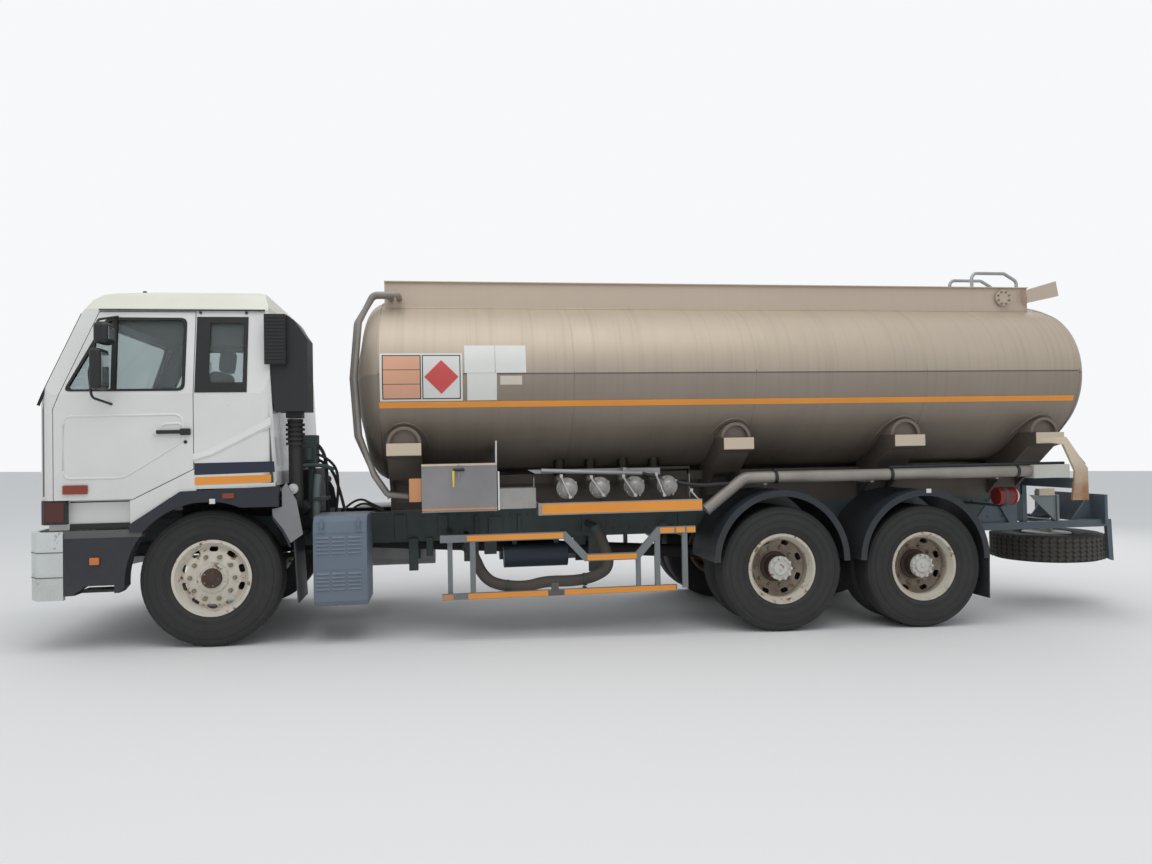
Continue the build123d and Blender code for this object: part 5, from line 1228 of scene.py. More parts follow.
# %% Pressed lines and small cab items
DOOR_PRESSING = [(-1.022, 1.795), (-0.182, 1.800), (-0.165, 1.600), (-0.600, 1.326), (-1.022, 1.326)]
HANDLE_BEAD = [(-0.320, 1.716), (-0.300, 1.728), (-0.200, 1.730), (-0.182, 1.716)]
BEAD_R = 0.0125
for side_name, side in SIDES.items():
    door_body = "door_" + side_name
    skin = side * (CAB_HALF + 0.0005)
    path_points = rounded_outline(DOOR_PRESSING, 0.06, 6)
    path_points.append(path_points[0])
    sunk = skin - side * 0.0075
    draw("door_pressing_" + side_name, CAB_WHITE, door_body, "cab_paint",
         (tube, [(x, sunk, z) for x, z in path_points], BEAD_R, 20),
         (tube, [(x, sunk, z) for x, z in HANDLE_BEAD], BEAD_R, 20))
    bm = bmesh.new()
    crease = [((-0.100, 1.500), (-0.100, 1.452), (-0.100, 1.436)),
              ((0.010, 1.530), (0.030, 1.487), (0.036, 1.470)),
              ((0.400, 1.738), (0.430, 1.690), (0.438, 1.672)),
              ((0.468, 1.775), (0.474, 1.716), (0.476, 1.700))]
    lifts = (-0.002, 0.011, -0.002)
    rows = [[bm.verts.new((x, skin + side * lift, z)) for (x, z), lift in zip(cut, lifts)] for cut in crease]
    for one, two in zip(rows, rows[1:]):
        for k in range(3):
            j = (k + 1) % 3
            bm.faces.new((one[k], one[j], two[j], two[k]))
    bm.faces.new(rows[0])
    bm.faces.new(rows[-1])
    piece_of("panel_crease_" + side_name, bm, CAB_WHITE, "cab")
    draw("sill_cover_" + side_name, CAB_WHITE, "cab", "cab_paint",
         (block, -0.092, 0.500, side * 1.170, side * (CAB_HALF - 0.001), 1.228, 1.262))
    draw("door_lock_" + side_name, BLACK_PLASTIC, door_body, "black_plastic",
         (disc, (-0.155, skin, 1.589), 0.014, 0.006, (0, side, 0), 20, 0.85),
         (disc, (-0.155, skin + side * 0.005, 1.589), 0.006, 0.004, (0, side, 0), 12), bevel=0.0008)
    draw("gutter_line_" + side_name, BLACK_PLASTIC, "cab", "black_plastic",
         (block, -0.800, 0.420, side * 1.133, side * 1.141, 2.609, 2.619),
         *((disc, (x, side * 1.128, 2.596), 0.011, 0.012, (0, side, 0), 8, 0.8) for x in (-0.063, 0.279)))
    y0, y1 = side * 1.2515, side * 1.262
    draw("flare_reflector_" + side_name, WHITE_SIGN, "cab", "lamp_plastic",
         (block, 0.018, 0.061, y0, y1, 1.112, 1.151), bevel=0.004)
    draw("flare_marker_" + side_name, LENS_DULL, "cab", "lamp_plastic",
         (block, 0.113, 0.200, y0, y1, 1.150, 1.190), bevel=0.004)
    draw("step_strip_" + side_name, BLACK_PLASTIC, "cab", "black_plastic",
         (block, -1.000, -0.557, side * 1.167, side * 1.186, 0.940, 0.985),
         (block, -1.000, -0.570, side * 1.167, side * 1.171, 1.143, 1.152), bevel=0.003)
    draw("sill_strip_" + side_name, FADED_GREY, "chassis", "dark_paint",
         (block, -1.022, -0.475, side * 1.14, side * (CAB_HALF + 0.002), 0.878, 0.934), bevel=0.003)
draw("roof_base", BLACK_PLASTIC, "cab", "black_plastic",
     (disc, (-0.70, -0.5, 2.795), 0.060, 0.032, (0, 0, 1), 28, 0.95),
     (disc, (-0.665, -0.5, 2.826), 0.020, 0.045, (0, 0, 1), 20, 0.8), bevel=0.003)
for side_name, side in SIDES.items():
    draw("corner_lens_" + side_name, LENS_DARK, "cab", "lamp_plastic",
         (block, -1.158, -1.022, side * 1.2275, side * 1.2325, 1.005, 1.150),
         (block, -1.1925, -1.1895, side * 1.130, side * 1.196, 1.005, 1.150), bevel=0.002)
    middle = side * MIRROR_Y
    draw("mirror_glass_" + side_name, MIRROR_GLASS, "door_" + side_name, "black_plastic",
         (block, -0.6665, -0.6635, middle - 0.072, middle + 0.072, 2.012, 2.253),
         (block, -0.6195, -0.6165, middle - 0.060, middle + 0.060, 2.350, 2.443), bevel=0.001)
print("pressed lines and small items done")

# %% [markdown]
# The front of the cab is hidden in most views of a side, yet a truck seen from
# ahead is known by its wipers, grille mesh and lamps. The screen leans back, so
# pieces on it take their x from its height.

# %% Front of the cab
SCREEN_FOOT = (-1.210, SCREEN_FOOT_Z)
SCREEN_SLOPE = 0.285 / 0.740
SCREEN_EDGE_Y = 1.216
SCREEN_EDGE_HEIGHTS = (1.880, BELT_Z, 2.27, 2.585)


def on_screen(y, z, out):
    """Place on the leaning screen wall."""
    return (SCREEN_FOOT[0] + SCREEN_SLOPE * (z - SCREEN_FOOT[1]) - out, y, z)


WINDSCREEN = [(-1.080, 1.990), (1.080, 1.990), (1.000, 2.550), (-1.000, 2.550)]
draw("screen_seal", SEAL_RUBBER, "cab", "black_plastic",
     (ring_of, rounded_outline(WINDSCREEN, 0.07), 0.018, 0.005, on_screen))
draw("screen_edges", SEAL_RUBBER, "cab", "black_plastic",
     *((tube, [on_screen(side * (SCREEN_EDGE_Y - SIDE_LEAN * max(z - BELT_Z, 0)), z, 0.002)
               for z in SCREEN_EDGE_HEIGHTS], 0.011, 10) for side in SIDES.values()))
bm = bmesh.new()
for pivot_y, reach in ((-0.72, 0.62), (0.02, 0.62)):
    foot = Vector(on_screen(pivot_y, 1.950, 0.006))
    middle = Vector(on_screen(pivot_y + 0.36, 2.035, 0.032))
    disc(bm, on_screen(pivot_y, 1.945, -0.002), 0.022, 0.03, (-1, 0, 0.35), 16, 0.8)
    tube(bm, [foot, foot.lerp(middle, 0.5) - Vector((0.02, 0, 0)), middle], 0.007, 8)
    ends = [Vector(on_screen(pivot_y + 0.36 - reach / 2, 2.028, 0.012)),
            Vector(on_screen(pivot_y + 0.36 + reach / 2, 2.042, 0.012))]
    tube(bm, ends, 0.008, 8)
    tube(bm, [ends[0].lerp(ends[1], 0.25), middle, ends[0].lerp(ends[1], 0.75)], 0.005, 8)
piece_of("wipers", bm, BLACK_PLASTIC, "cab")
draw("grille_backing", FADED_GREY, "cab", "cab_paint", (block, -1.1890, -1.1855, -0.816, 0.816, 1.274, 1.636))
mesh_bars = grow(block_row, BLACK_PLASTIC, Count=54, Step=(0, 0.03, 0), Size=(0.004, 0.006, 0.356))
grown_piece("grille_bars", [(mesh_bars, Matrix.Translation((-1.1915, -0.795, 1.455)))], BLACK_PLASTIC, "cab")
for side_name, side in SIDES.items():
    low_y, high_y = sorted((side * 0.645, side * 0.925))
    bars = [(low_y, high_y, 0.745, 0.755), (low_y, high_y, 0.605, 0.615),
            (low_y, low_y + 0.01, 0.605, 0.755), (high_y - 0.01, high_y, 0.605, 0.755)]
    draw("lamp_frame_" + side_name, BLACK_PLASTIC, "chassis", "black_plastic",
         *((block, -1.341, -1.334, *bar) for bar in bars), bevel=0.002)
    draw("lamp_rings_" + side_name, LENS_CLEAR, "chassis", "lamp_plastic",
         *((disc, (x, side * y, 0.680), radius, deep, (-1, 0, 0), 32, taper) for y in (0.725, 0.850)
           for x, radius, deep, taper in ((-1.336, 0.055, 0.004, 0.92), (-1.340, 0.046, 0.003, 0.6))),
         bevel=0.001)
draw("front_plate_blank", WHITE_SIGN, "chassis", "cab_paint",
     (block, -1.334, -1.3295, -0.260, 0.260, 0.630, 0.742), bevel=0.002)

BUMPER_LINE = [(-1.032, -1.2355), (-1.2105, -1.2355), (-1.2905, -1.1305), (-1.3305, -0.9), (-1.3305, 0.9),
               (-1.2905, 1.1305), (-1.2105, 1.2355), (-1.032, 1.2355)]
draw("bumper_grooves", FADED_GREY, "chassis", "black_plastic",
     *((tube, [(x, y, z) for x, y in BUMPER_LINE], 0.0035, 8) for z in (0.592, 0.778)))

# %% Inside of the cab
draw("headliner", TRIM_GREY, "cab", "black_plastic",
     (block, -0.860, 0.330, -1.020, 1.020, 2.590, 2.604), bevel=0.004)
draw("dash_details", BLACK_PLASTIC, "cab", "black_plastic",
     *((block, -0.924, -0.908, y, y + 0.16, 1.690, 1.750) for y in (-0.95, -0.35, 0.25)), bevel=0.003)
draw("gear_lever", BLACK_PLASTIC, "cab", "black_plastic",
     (tube, [(-0.42, 0.12, 1.42), (-0.44, 0.12, 1.60), (-0.50, 0.13, 1.76)], 0.010),
     (disc, (-0.50, 0.13, 1.755), 0.024, 0.05, (-0.3, 0, 1), 16, 0.8))

# %% [markdown]
# Each seat is foam under cloth: a crowned cushion, a leaning back and a small
# head rest. A flat box would look like a crate, so a dense box is rounded
# into a pillow, its faces bulge, and sewn channels press into the middle panel.

# %% Seats
SEAT_Y = 0.68
PILLOW_CUTS = 18
PILLOW_POWER = 6.0


def pillow(bm, size, place, channels, across):
    """Crowned pad of this size; channels are sewn across the axis number given."""
    grid = bmesh.ops.create_cube(bm, size=2)
    verts = grid["verts"]
    edges = list({e for v in verts for e in v.link_edges})
    bmesh.ops.subdivide_edges(bm, edges=edges, cuts=PILLOW_CUTS, use_grid_fill=True)
    made = [v for v in bm.verts if v.is_valid and not v.tag]
    for v in made:
        v.tag = True
        x, y, z = v.co
        p = PILLOW_POWER
        norm = (abs(x) ** p + abs(y) ** p + abs(z) ** p) ** (1 / p)
        x, y, z = x / norm, y / norm, z / norm
        crown = (1 - x * x) * (1 - y * y)
        z *= 0.86 + 0.14 * crown
        if z > 0.2:
            along = (x, y)[across]
            for line in channels:
                z -= 0.10 * max(0, 1 - abs(along - line) / 0.09) * (1 - max(abs(x), abs(y)) ** 6)
        v.co = place @ Vector((x * size[0] / 2, y * size[1] / 2, z * size[2] / 2))


def leaning(x, y, z, angle):
    """Place turned by an angle in degrees about the axis across the truck."""
    return Matrix.Translation((x, y, z)) @ Matrix.Rotation(radians(angle), 4, "Y")


for side_name, side in SIDES.items():
    y = side * SEAT_Y
    pads = [("seat_cushion_", (0.47, 0.42, 0.21), leaning(-0.34, y, 1.455, 4), (-0.45, 0, 0.45), 1, 0.75),
            ("seat_back_", (0.62, 0.43, 0.16), leaning(-0.055, y, 1.86, 280), (-0.5, -0.1, 0.3), 0, 0.7),
            ("seat_head_", (0.18, 0.26, 0.10), leaning(0.035, y, 2.255, 277), (), 0, 0.8)]
    for name, size, place, channels, across, fill in pads:
        bm = bmesh.new()
        pillow(bm, size, place, channels, across)
        pad = piece_of(name + side_name, bm, SEAT_CLOTH, "cab")
        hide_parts("seats")
    frame_piece = draw("seat_frame_" + side_name, BLACK_PLASTIC, "cab", "seat_cloth",
                       (block, -0.50, -0.18, y - 0.15, y + 0.15, 1.20, 1.36),
                       (tube, [(0.005, y - 0.05, 2.10), (0.03, y - 0.05, 2.20)], 0.007),
                       (tube, [(0.005, y + 0.05, 2.10), (0.03, y + 0.05, 2.20)], 0.007), bevel=0.006)
    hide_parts("seats")
print("seat pads", 6)

# %% [markdown]
# Behind the cab stand the battery box and, on the tank, the welded details:
# a bead round each head, a bead along the coaming and the bolts of the blind
# flange. A weld is a low rounded rope of metal; a thin tube that is half sunk in
# the sheet shows it well.

# %% Welds and bolts on the tank
COAMING_FOOT_Z = 2.712


def barrel_loop(x, grow_by, steps=64):
    """Points round the barrel at x, a little outside its skin."""
    points = []
    for k in range(steps + 1):
        z = TANK_MID_Z - TANK_DOWN + (TANK_UP + TANK_DOWN) * (1 - cos(pi * k / steps)) / 2
        points.append((x, tank_half_width(z) + grow_by, z))
    return points + [(px, -py, pz) for px, py, pz in points[::-1]]


BEARER_MIDDLES = [1.478, 4.266, 5.824, 7.175]
# Weld over each bearer: foot height, rise, half width and number of steps
ARC_FOOT_Z, ARC_RISE, ARC_HALF, ARC_STEPS = 1.505, 0.212, 0.192, 14
bm = bmesh.new()
for x in (TANK_FRONT + 0.004, TANK_REAR - 0.004):
    tube(bm, barrel_loop(x, 0.0), 0.006, 6)
for x in (2.86, 4.42, 5.98):
    tube(bm, barrel_loop(x, -0.0012), 0.004, 6)
for side in SIDES.values():
    tube(bm, [(1.32, side * 0.694, COAMING_FOOT_Z), (7.335, side * 0.694, COAMING_FOOT_Z)], 0.008, 8)
for middle in BEARER_MIDDLES:
    for side in SIDES.values():
        arc = []
        for k in range(ARC_STEPS + 1):
            angle = pi * k / ARC_STEPS
            z = ARC_FOOT_Z + ARC_RISE * sin(angle)
            arc.append((middle + ARC_HALF * cos(angle), side * (tank_half_width(z) + 0.001), z))
        tube(bm, arc, 0.006, 8)
piece_of("tank_welds", bm, TANK_METAL, "chassis")
flange_nuts = grow(nut_ring, NUT_STEEL, Count=8, Ring_Radius=0.059, Nut_Radius=0.0095, Nut_Height=0.03)
flange_place = facing(7.076, -0.722, 2.838, -1) @ Matrix.Rotation(radians(22.5), 4, "Z")
grown_piece("flange_nuts", [(flange_nuts, flange_place)], NUT_STEEL, "chassis", bevel=0.0012)
MANHOLES = [2.130, 3.610, 5.090, 6.570]
lid_bolts = [(grow(nut_ring, GALVANISED, Count=16, Ring_Radius=0.243, Nut_Radius=0.010, Nut_Height=0.022),
              Matrix.Translation((x, 0, 2.886))) for x in MANHOLES]
grown_piece("cover_bolts", lid_bolts, GALVANISED, "chassis", bevel=0.001)
bm = bmesh.new()
for x in MANHOLES:
    tube(bm, [(x + 0.30, 0.30, 2.80), (x + 0.30, 0.30, 2.885), (x + 0.30, 0.36, 2.90)], 0.022)
    disc(bm, (x + 0.30, 0.30, 2.78), 0.05, 0.05, (0, 0, 1), 24)
piece_of("vent_elbows", bm, GALVANISED, "chassis")

# %% Pipes behind the cab
PIPES_BEHIND = [
    (CHASSIS_GREY, 0.024, [(0.66, -0.52, 0.93), (0.66, -0.52, 1.32), (0.70, -0.50, 1.46)]),
    (TEAL_GREY, 0.034, [(0.72, -0.62, 0.93), (0.72, -0.62, 1.22), (0.74, -0.60, 1.30)]),
    (HOSE_BLACK, 0.015,
     [(0.80, -0.48, 0.95), (0.80, -0.50, 1.25), (0.78, -0.47, 1.50), (0.715, -0.47, 1.56)]),
    (HOSE_BLACK, 0.012,
     [(0.86, -0.46, 0.95), (0.90, -0.50, 1.18), (0.87, -0.52, 1.42), (0.715, -0.53, 1.48)]),
    (HOSE_BLACK, 0.013,
     [(0.94, -0.45, 0.97), (0.90, -0.43, 1.15), (0.82, -0.43, 1.38), (0.715, -0.44, 1.43)]),
    (CHASSIS_GREY, 0.018, [(0.62, -0.66, 1.38), (0.78, -0.60, 1.40), (0.86, -0.56, 1.34)]),
    (HOSE_BLACK, 0.010, [(1.00, -0.46, 0.99), (1.08, -0.48, 1.06), (1.20, -0.46, 1.00), (1.27, -0.45, 0.97)]),
    (HOSE_BLACK, 0.010, [(0.95, -0.45, 1.01), (1.05, -0.47, 1.10), (1.18, -0.47, 1.03), (1.27, -0.44, 0.98)]),
]
for number, (colour, radius, route) in enumerate(PIPES_BEHIND):
    hose("pipe_behind_%d" % (number + 1), route, radius, colour, "chassis")
draw("pipe_holders", CHASSIS_GREY, "chassis", "frame_paint",
     (block, 0.62, 0.90, -0.46, -0.40, 0.945, 0.99),
     (block, 0.70, 0.82, -0.66, -0.44, 1.085, 1.115),
     (block, 0.605, 0.725, -0.60, -0.41, 1.40, 1.64),
     (block, 0.640, 0.690, -0.50, -0.45, 0.98, 1.41),
     (disc, (0.66, -0.60, 1.43), 0.042, 0.10, (0, 0, 1), 24),
     (disc, (0.80, -0.45, 1.26), 0.030, 0.05, (0, -1, 0), 20), bevel=0.003)

# %% Battery box, cap and guard plate
bm = bmesh.new()
for x in (0.838, 1.118):
    block(bm, x - 0.013, x + 0.013, -1.2105, -1.200, 0.865, 0.972)
    disc(bm, (x, -1.209, 0.905), 0.012, 0.010, (0, -1, 0), 16, 0.8)
    block(bm, x - 0.020, x + 0.020, -1.216, -1.200, 0.860, 0.876)
for z in (0.852, 0.565):
    block(bm, 0.782, 1.172, -1.2075, -1.202, z, z + 0.006)
piece_of("battery_straps", bm, BATTERY_BLUE, "chassis", bevel=0.002)
draw("filler_cap", WHITE_SIGN, "chassis", "duct_rubber",
     (disc, (0.600, -1.030, 1.203), 0.042, 0.034, (0, -1, 0), 28, 0.92),
     (disc, (0.600, -1.062, 1.203), 0.020, 0.012, (0, -1, 0), 6), bevel=0.003)
for side_name, side in SIDES.items():
    draw("wheel_guard_" + side_name, GUARD_GREY, "chassis", "dark_paint",
         (side_plate, [(0.470, 1.058), (0.545, 1.073), (0.545, 1.215), (0.579, 1.262), (0.654, 1.120),
          (0.700, 0.856), (0.608, 0.792), (0.603, 0.800), (0.552, 0.900), (0.478, 1.000)], side * 1.2155,
          side * 1.2215), bevel=0.003)

# %% [markdown]
# The tool locker, the outlet tray and the side guards fill the space between
# the axles. The couplings are cast domes with a cam lever each; rods slant down
# in front of them.

# %% Locker details
draw("locker_top_trim", CREAM, "locker_door", "box_paint",
     (block, 1.6145, 2.2125, -1.2255, -1.2215, 1.362, 1.379), bevel=0.001)
draw("locker_low_trim", ORANGE_BROWN, "locker_door", "box_paint",
     (block, 1.6155, 2.2115, -1.2245, -1.2215, 1.008, 1.024), bevel=0.001)
draw("locker_handle", BLACK_PLASTIC, "locker_door", "box_paint",
     (tube, [(1.862, -1.241, 1.330), (1.954, -1.241, 1.330)], 0.0115), bevel=0.002)
draw("locker_tag", YELLOW_TAG, "locker_door", "box_paint",
     (side_plate, [(1.855, 1.323), (1.875, 1.323), (1.870, 1.192), (1.860, 1.192)], -1.2535, -1.2525))
draw("side_box", ORANGE_BROWN, "chassis", "box_paint",
     (block, 1.515, 1.6155, -1.200, -1.040, 1.080, 1.265), bevel=0.004)
draw("locker_strap", WHITE_SIGN, "chassis", "box_paint",
     (side_plate, [(2.213, 1.300), (2.226, 1.300), (2.229, 1.560), (2.216, 1.560)], -1.030, -1.018),
     (block, 2.2195, 2.2335, -1.2215, -1.030, 0.999, 1.310), bevel=0.001)

# %% Outlet couplings
OUTLETS = [2.800, 3.075, 3.370, 3.655]
OUTLET_Z = 1.155
EAR_RING_R = 0.079
EAR_ANGLES = (0.6, 2.1, 3.7, 5.2)
LEVERS = [((2.741, 1.251), (2.813, 1.086)), ((2.991, 1.237), (3.088, 1.095)),
          ((3.260, 1.239), (3.359, 1.087)), ((3.541, 1.249), (3.606, 1.081)),
          ((3.839, 1.108), (3.905, 1.030))]
bm = bmesh.new()
for x in OUTLETS:
    disc(bm, (x, -1.149, OUTLET_Z), 0.060, 0.012, (0, -1, 0), 32, 0.9)
    disc(bm, (x, -1.161, OUTLET_Z), 0.048, 0.010, (0, -1, 0), 32, 0.7)
    disc(bm, (x, -1.171, OUTLET_Z), 0.026, 0.008, (0, -1, 0), 24, 0.8)
    for angle in EAR_ANGLES:
        px, pz = x + EAR_RING_R * cos(angle), OUTLET_Z + EAR_RING_R * sin(angle)
        block(bm, px - 0.010, px + 0.010, -1.140, -1.096, pz - 0.010, pz + 0.010)
piece_of("coupling_caps", bm, OUTLET_ALLOY, "chassis", bevel=0.003)
coupling_bolts = [(grow(nut_ring, NUT_STEEL, Count=8, Ring_Radius=0.076, Nut_Radius=0.007, Nut_Height=0.012),
                   facing(x, -1.101, OUTLET_Z, -1)) for x in OUTLETS]
grown_piece("coupling_bolts", coupling_bolts, NUT_STEEL, "chassis")
bm = bmesh.new()
for (ax, az), (bx, bz) in LEVERS:
    tube(bm, [(ax, -1.178, az), (bx, -1.178, bz)], 0.0085, 10)
    disc(bm, (bx, -1.150, bz), 0.016, 0.036, (0, -1, 0), 14, 0.9)
    block(bm, ax - 0.012, ax + 0.012, -1.19, -1.166, az - 0.004, az + 0.022)
piece_of("coupling_levers", bm, BRIGHT_STEEL, "chassis", bevel=0.001)
draw("control_pipe", GALVANISED, "chassis", "outlet_metal",
     (tube, [(2.60, -0.985, 1.302), (3.46, -0.985, 1.262), (3.56, -0.93, 1.262)], 0.019),
     (block, 2.70, 2.73, -0.985, -0.83, 1.285, 1.312),
     (block, 3.30, 3.33, -0.985, -0.83, 1.262, 1.312))
draw("tray_top_plate", GALVANISED, "chassis", "outlet_metal",
     (side_plate, [(2.494, 1.309), (3.652, 1.303), (3.652, 1.243), (3.560, 1.262), (2.560, 1.276)], -0.872,
      -0.862), bevel=0.001)
hose("drain_hose", [(3.46, -0.985, 1.262), (3.60, -1.05, 1.225), (3.80, -1.10, 1.165), (3.985, -1.13, 1.150),
                    (4.10, -1.12, 1.160), (4.19, -1.10, 1.160)], 0.016, HOSE_BLACK, "chassis")

# %% Guard clamp and suction hose
draw("guard_short_post", POST_GREY, "chassis", "frame_paint",
     (block, 3.348, 3.388, -1.208, -1.183, 0.330, 0.575), bevel=0.002)
draw("guard_rust_tape", ORANGE_BROWN, "chassis", "frame_paint",
     (strip, [(1.764, 0.316), (1.853, 0.316)], 0.043, -1.2155, -1.2185))
draw("guard_clamp", FADED_GREY, "chassis", "frame_paint",
     (block, 2.613, 2.744, -1.2195, -1.178, 0.296, 0.336),
     (block, 2.640, 2.700, -1.2195, -1.190, 0.336, 0.392),
     (disc, (2.67, -1.219, 0.366), 0.012, 0.01, (0, -1, 0), 6), bevel=0.004)
SUCTION_PATH = [(1.98, -0.86, 0.700), (2.03, -0.92, 0.600), (2.10, -0.98, 0.440), (2.213, -1.00, 0.365),
                (2.453, -1.00, 0.338), (2.613, -1.00, 0.381), (2.86, -1.00, 0.372), (3.03, -1.00, 0.398),
                (3.17, -0.99, 0.477), (3.13, -0.95, 0.664), (3.07, -0.90, 0.800)]
hose("suction_pipe", SUCTION_PATH, 0.048, HOSE_GREY, "chassis")
bm = bmesh.new()
for x, y, z, way in ((1.985, -0.868, 0.690, (0.3, -0.4, -0.9)), (3.085, -0.912, 0.770, (-0.4, 0.4, 0.9))):
    disc(bm, (x, y, z), 0.054, 0.05, way, 20)
block(bm, 1.955, 2.005, -0.880, -0.425, 0.700, 0.760)
block(bm, 3.050, 3.100, -0.920, -0.425, 0.780, 0.830)
for x in (2.30, 2.95):
    disc(bm, (x - 0.015, -1.0, 0.352 if x < 2.5 else 0.383), 0.054, 0.03, (1, 0, 0), 20)
    block(bm, x - 0.015, x + 0.015, -1.182, -0.95, 0.300, 0.318)
piece_of("suction_brackets", bm, CHASSIS_GREY, "chassis", bevel=0.003)

# %% [markdown]
# At the rear a hose tube ends in a cream box by a cream gusset plate. The lamp
# bar carries a row of lenses, a small red cylinder hangs behind the second
# fender and the spare tyre lies flat under the tow frame.

# %% Rear details
HOSE_TUBE_Y = 1.1
for side_name, side in SIDES.items():
    y = side * HOSE_TUBE_Y
    bm = bmesh.new()
    for x in (4.608, 5.669, 6.882):
        disc(bm, (x - 0.016, y, 1.205), 0.0545, 0.032, (1, 0, 0), 28)
        block(bm, x - 0.014, x + 0.014, y + side * 0.012, y - side * 0.032, 1.255, 1.272)
    piece_of("hose_clamps_" + side_name, bm, BLACK_PLASTIC, "chassis", bevel=0.002)
    draw("upper_line_" + side_name, BLACK_PLASTIC, "chassis", "tank_metal",
         (tube, [(5.66, y, 1.2685), (7.36, y, 1.2685)], 0.0145))
    draw("end_box_" + side_name, BOX_GREY, "chassis", "tank_metal",
         (block, 7.016, 7.369, side * 1.034, side * 1.166, 1.139, 1.259), bevel=0.004)
    draw("corner_gusset_" + side_name, GUSSET_CREAM, "chassis", "blue_grey_paint",
         (side_plate, [(7.066, 1.492), (7.066, 1.470), (7.300, 1.436), (7.412, 1.195), (7.378, 0.934),
          (7.541, 0.932), (7.539, 1.220), (7.332, 1.506)], side * 1.1535, side * 1.1835), bevel=0.004)
    draw("fender_reflector_" + side_name, WHITE_SIGN, "chassis", "dark_paint",
         (block, 5.909, 5.954, side * 1.244, side * 1.251, 1.170, 1.206), place=TO_ROAD, bevel=0.002)
    for colour, a, b in ((LENS_RED, 0.705, 0.885), (LENS_AMBER, 0.890, 1.015), (LENS_CLEAR, 1.020, 1.115)):
        draw(colour.name + "_rear_" + side_name, colour, "chassis", "lamp_plastic",
             (block, 7.5075, 7.516, side * a, side * b, 1.045, 1.125), bevel=0.004)
    draw("frame_reflector_" + side_name, LENS_RED, "chassis", "blue_grey_paint",
         (block, 7.150, 7.265, side * 0.4705, side * 0.477, 0.860, 0.915), bevel=0.003)
draw("red_cylinder", RED_PAINT, "chassis", "lamp_plastic",
     (disc, (6.745, -1.00, 0.978), 0.080, 0.150, (1, 0, 0), 36),
     (disc, (6.895, -1.00, 0.978), 0.082, 0.020, (1, 0, 0), 36), bevel=0.006)
draw("cylinder_end", WHITE_SIGN, "chassis", "lamp_plastic",
     (disc, (6.915, -1.00, 0.978), 0.074, 0.026, (1, 0, 0), 36, 0.85), bevel=0.004)
draw("cylinder_bracket", CHASSIS_GREY, "chassis", "frame_paint",
     (block, 6.79, 6.84, -1.02, -0.425, 0.880, 0.900),
     (disc, (6.797, -1.00, 0.978), 0.0835, 0.036, (1, 0, 0), 36), bevel=0.003)
for side_name, side in SIDES.items():
    draw("tow_gusset_" + side_name, TEAL_GREY, "chassis", "blue_grey_paint",
         (side_plate, [(7.461, 0.945), (7.766, 0.937), (7.762, 0.680), (7.740, 0.680)], side * 0.472,
          side * 0.480),
         (block, 7.742, 7.766, side * 0.40, side * 0.50, 0.680, 0.940), bevel=0.002)
draw("rear_small_box", CREAM, "chassis", "box_paint",
     (block, 7.553, 7.722, -0.500, -0.440, 0.936, 1.004), bevel=0.004)
draw("rear_plate_blank", WHITE_SIGN, "chassis", "cab_paint",
     (block, 7.466, 7.474, -0.26, 0.26, 1.035, 1.135), bevel=0.002)

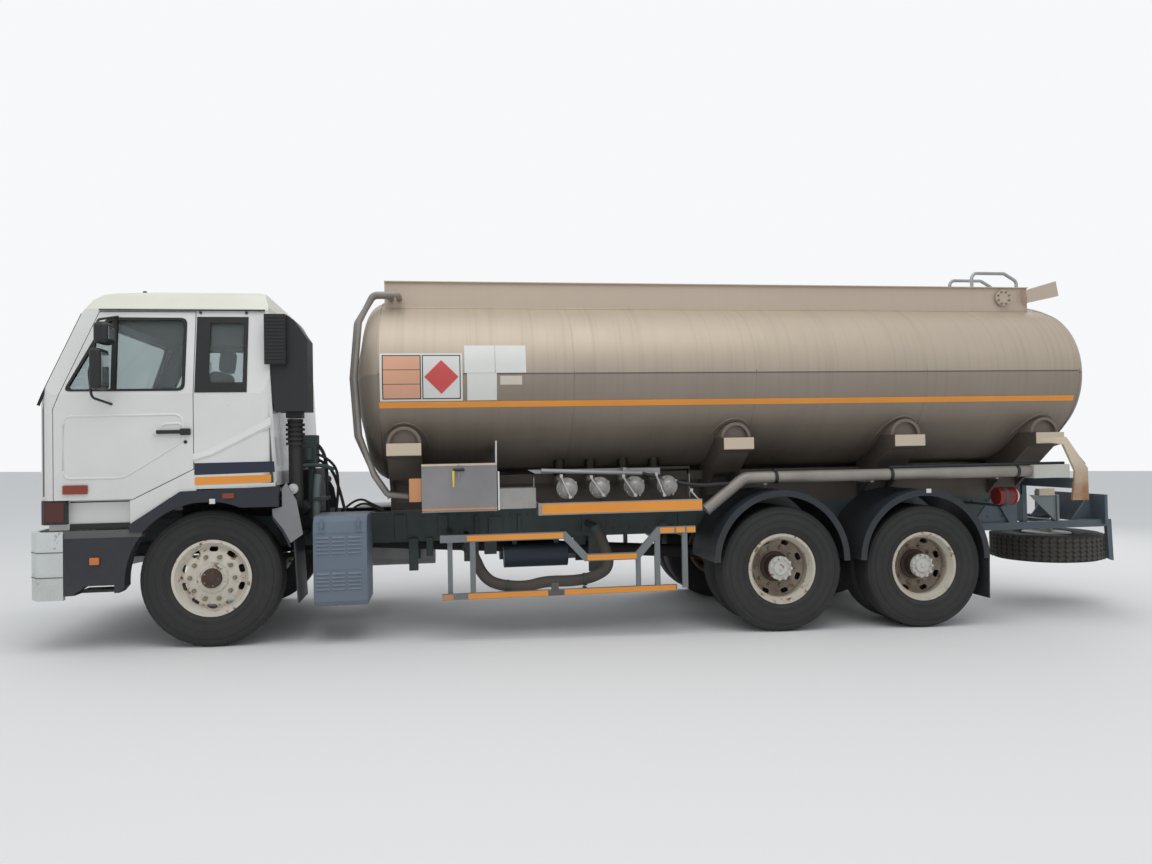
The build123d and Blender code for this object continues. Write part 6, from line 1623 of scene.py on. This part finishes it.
# %% Spare tyre tread
spare_low, spare_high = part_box("spare_wheel")
spare_middle = (spare_low + spare_high) / 2
spare_turn = Matrix.Translation(spare_middle) @ Matrix.Rotation(-RAKE, 4, "Y")
spare_tread = grow(tread_tree, TREAD_DUSTY, Blocks_Round=48, Tyre_Radius=TYRE_R - 0.002, Ribs=5,
                   Rib_Step=0.045, Block_Size=(0.016, 0.058, 0.036), Turn=0.5)
grown_piece("tread_spare", [(spare_tread, spare_turn)], TREAD_DUSTY, "chassis", Matrix.Identity(4))
draw("spare_plate", BOX_GREY, "chassis", "rim_paint",
     (disc, (spare_middle.x, spare_middle.y, spare_high.z - 0.028), 0.235, 0.012, (0, 0, 1), 40, 0.97),
     (disc, (spare_middle.x, spare_middle.y, spare_high.z - 0.018), 0.06, 0.05, (0, 0, 1), 24, 0.9),
     place=Matrix.Identity(4), bevel=0.003)

# %% [markdown]
# Long frame rails are drilled and bolted all along. A row of hex heads comes from
# a line of points; the row faces outwards on each rail.

# %% Frame bolts
# Plates riveted to the rails: x0, x1, z0, z1
FRAME_PLATES = [(1.36, 1.46, 0.72, 0.93), (1.737, 1.820, 0.72, 0.925), (2.060, 2.090, 0.72, 0.90),
                (2.180, 2.302, 0.715, 0.890), (2.440, 2.470, 0.72, 0.90), (3.02, 3.24, 0.73, 0.90),
                (3.92, 4.10, 0.72, 0.93), (5.18, 5.36, 0.72, 0.93), (6.60, 6.74, 0.72, 0.93)]
for side_name, side in SIDES.items():
    rows = [(grow(bolt_row, CHASSIS_GREY, Count=40, Step=(0.155, 0, 0)), facing(1.30, side * 0.434, z, side))
            for z in (0.745, 0.900)]
    grown_piece("rail_bolts_" + side_name, rows, CHASSIS_GREY, "chassis")
    draw("frame_plates_" + side_name, CHASSIS_GREY, "chassis", "frame_paint",
         *((block, x0, x1, side * 0.4302, side * 0.446, z0, z1) for x0, x1, z0, z1 in FRAME_PLATES),
         (block, 3.085, 3.228, side * 0.395, side * 0.42, 0.365, 0.700), bevel=0.002)
# Hangers and plates seen under the rails: x0, x1, y0, y1, z0, z1
UNDER_RAILS = [(1.480, 1.560, 0.400, 0.470, 0.440, 0.722), (1.500, 1.540, 0.330, 0.400, 0.560, 0.722),
               (1.630, 1.690, 0.405, 0.455, 0.560, 0.722), (1.960, 2.090, 0.400, 0.440, 0.500, 0.720),
               (2.140, 2.250, 0.380, 0.430, 0.555, 0.720), (2.960, 3.075, 0.300, 0.330, 0.600, 0.760)]
draw("rail_hangers", CHASSIS_GREY, "chassis", "frame_paint",
     *((block, x0, x1, side * y0, side * y1, z0, z1) for x0, x1, y0, y1, z0, z1 in UNDER_RAILS
       for side in SIDES.values()), bevel=0.004)
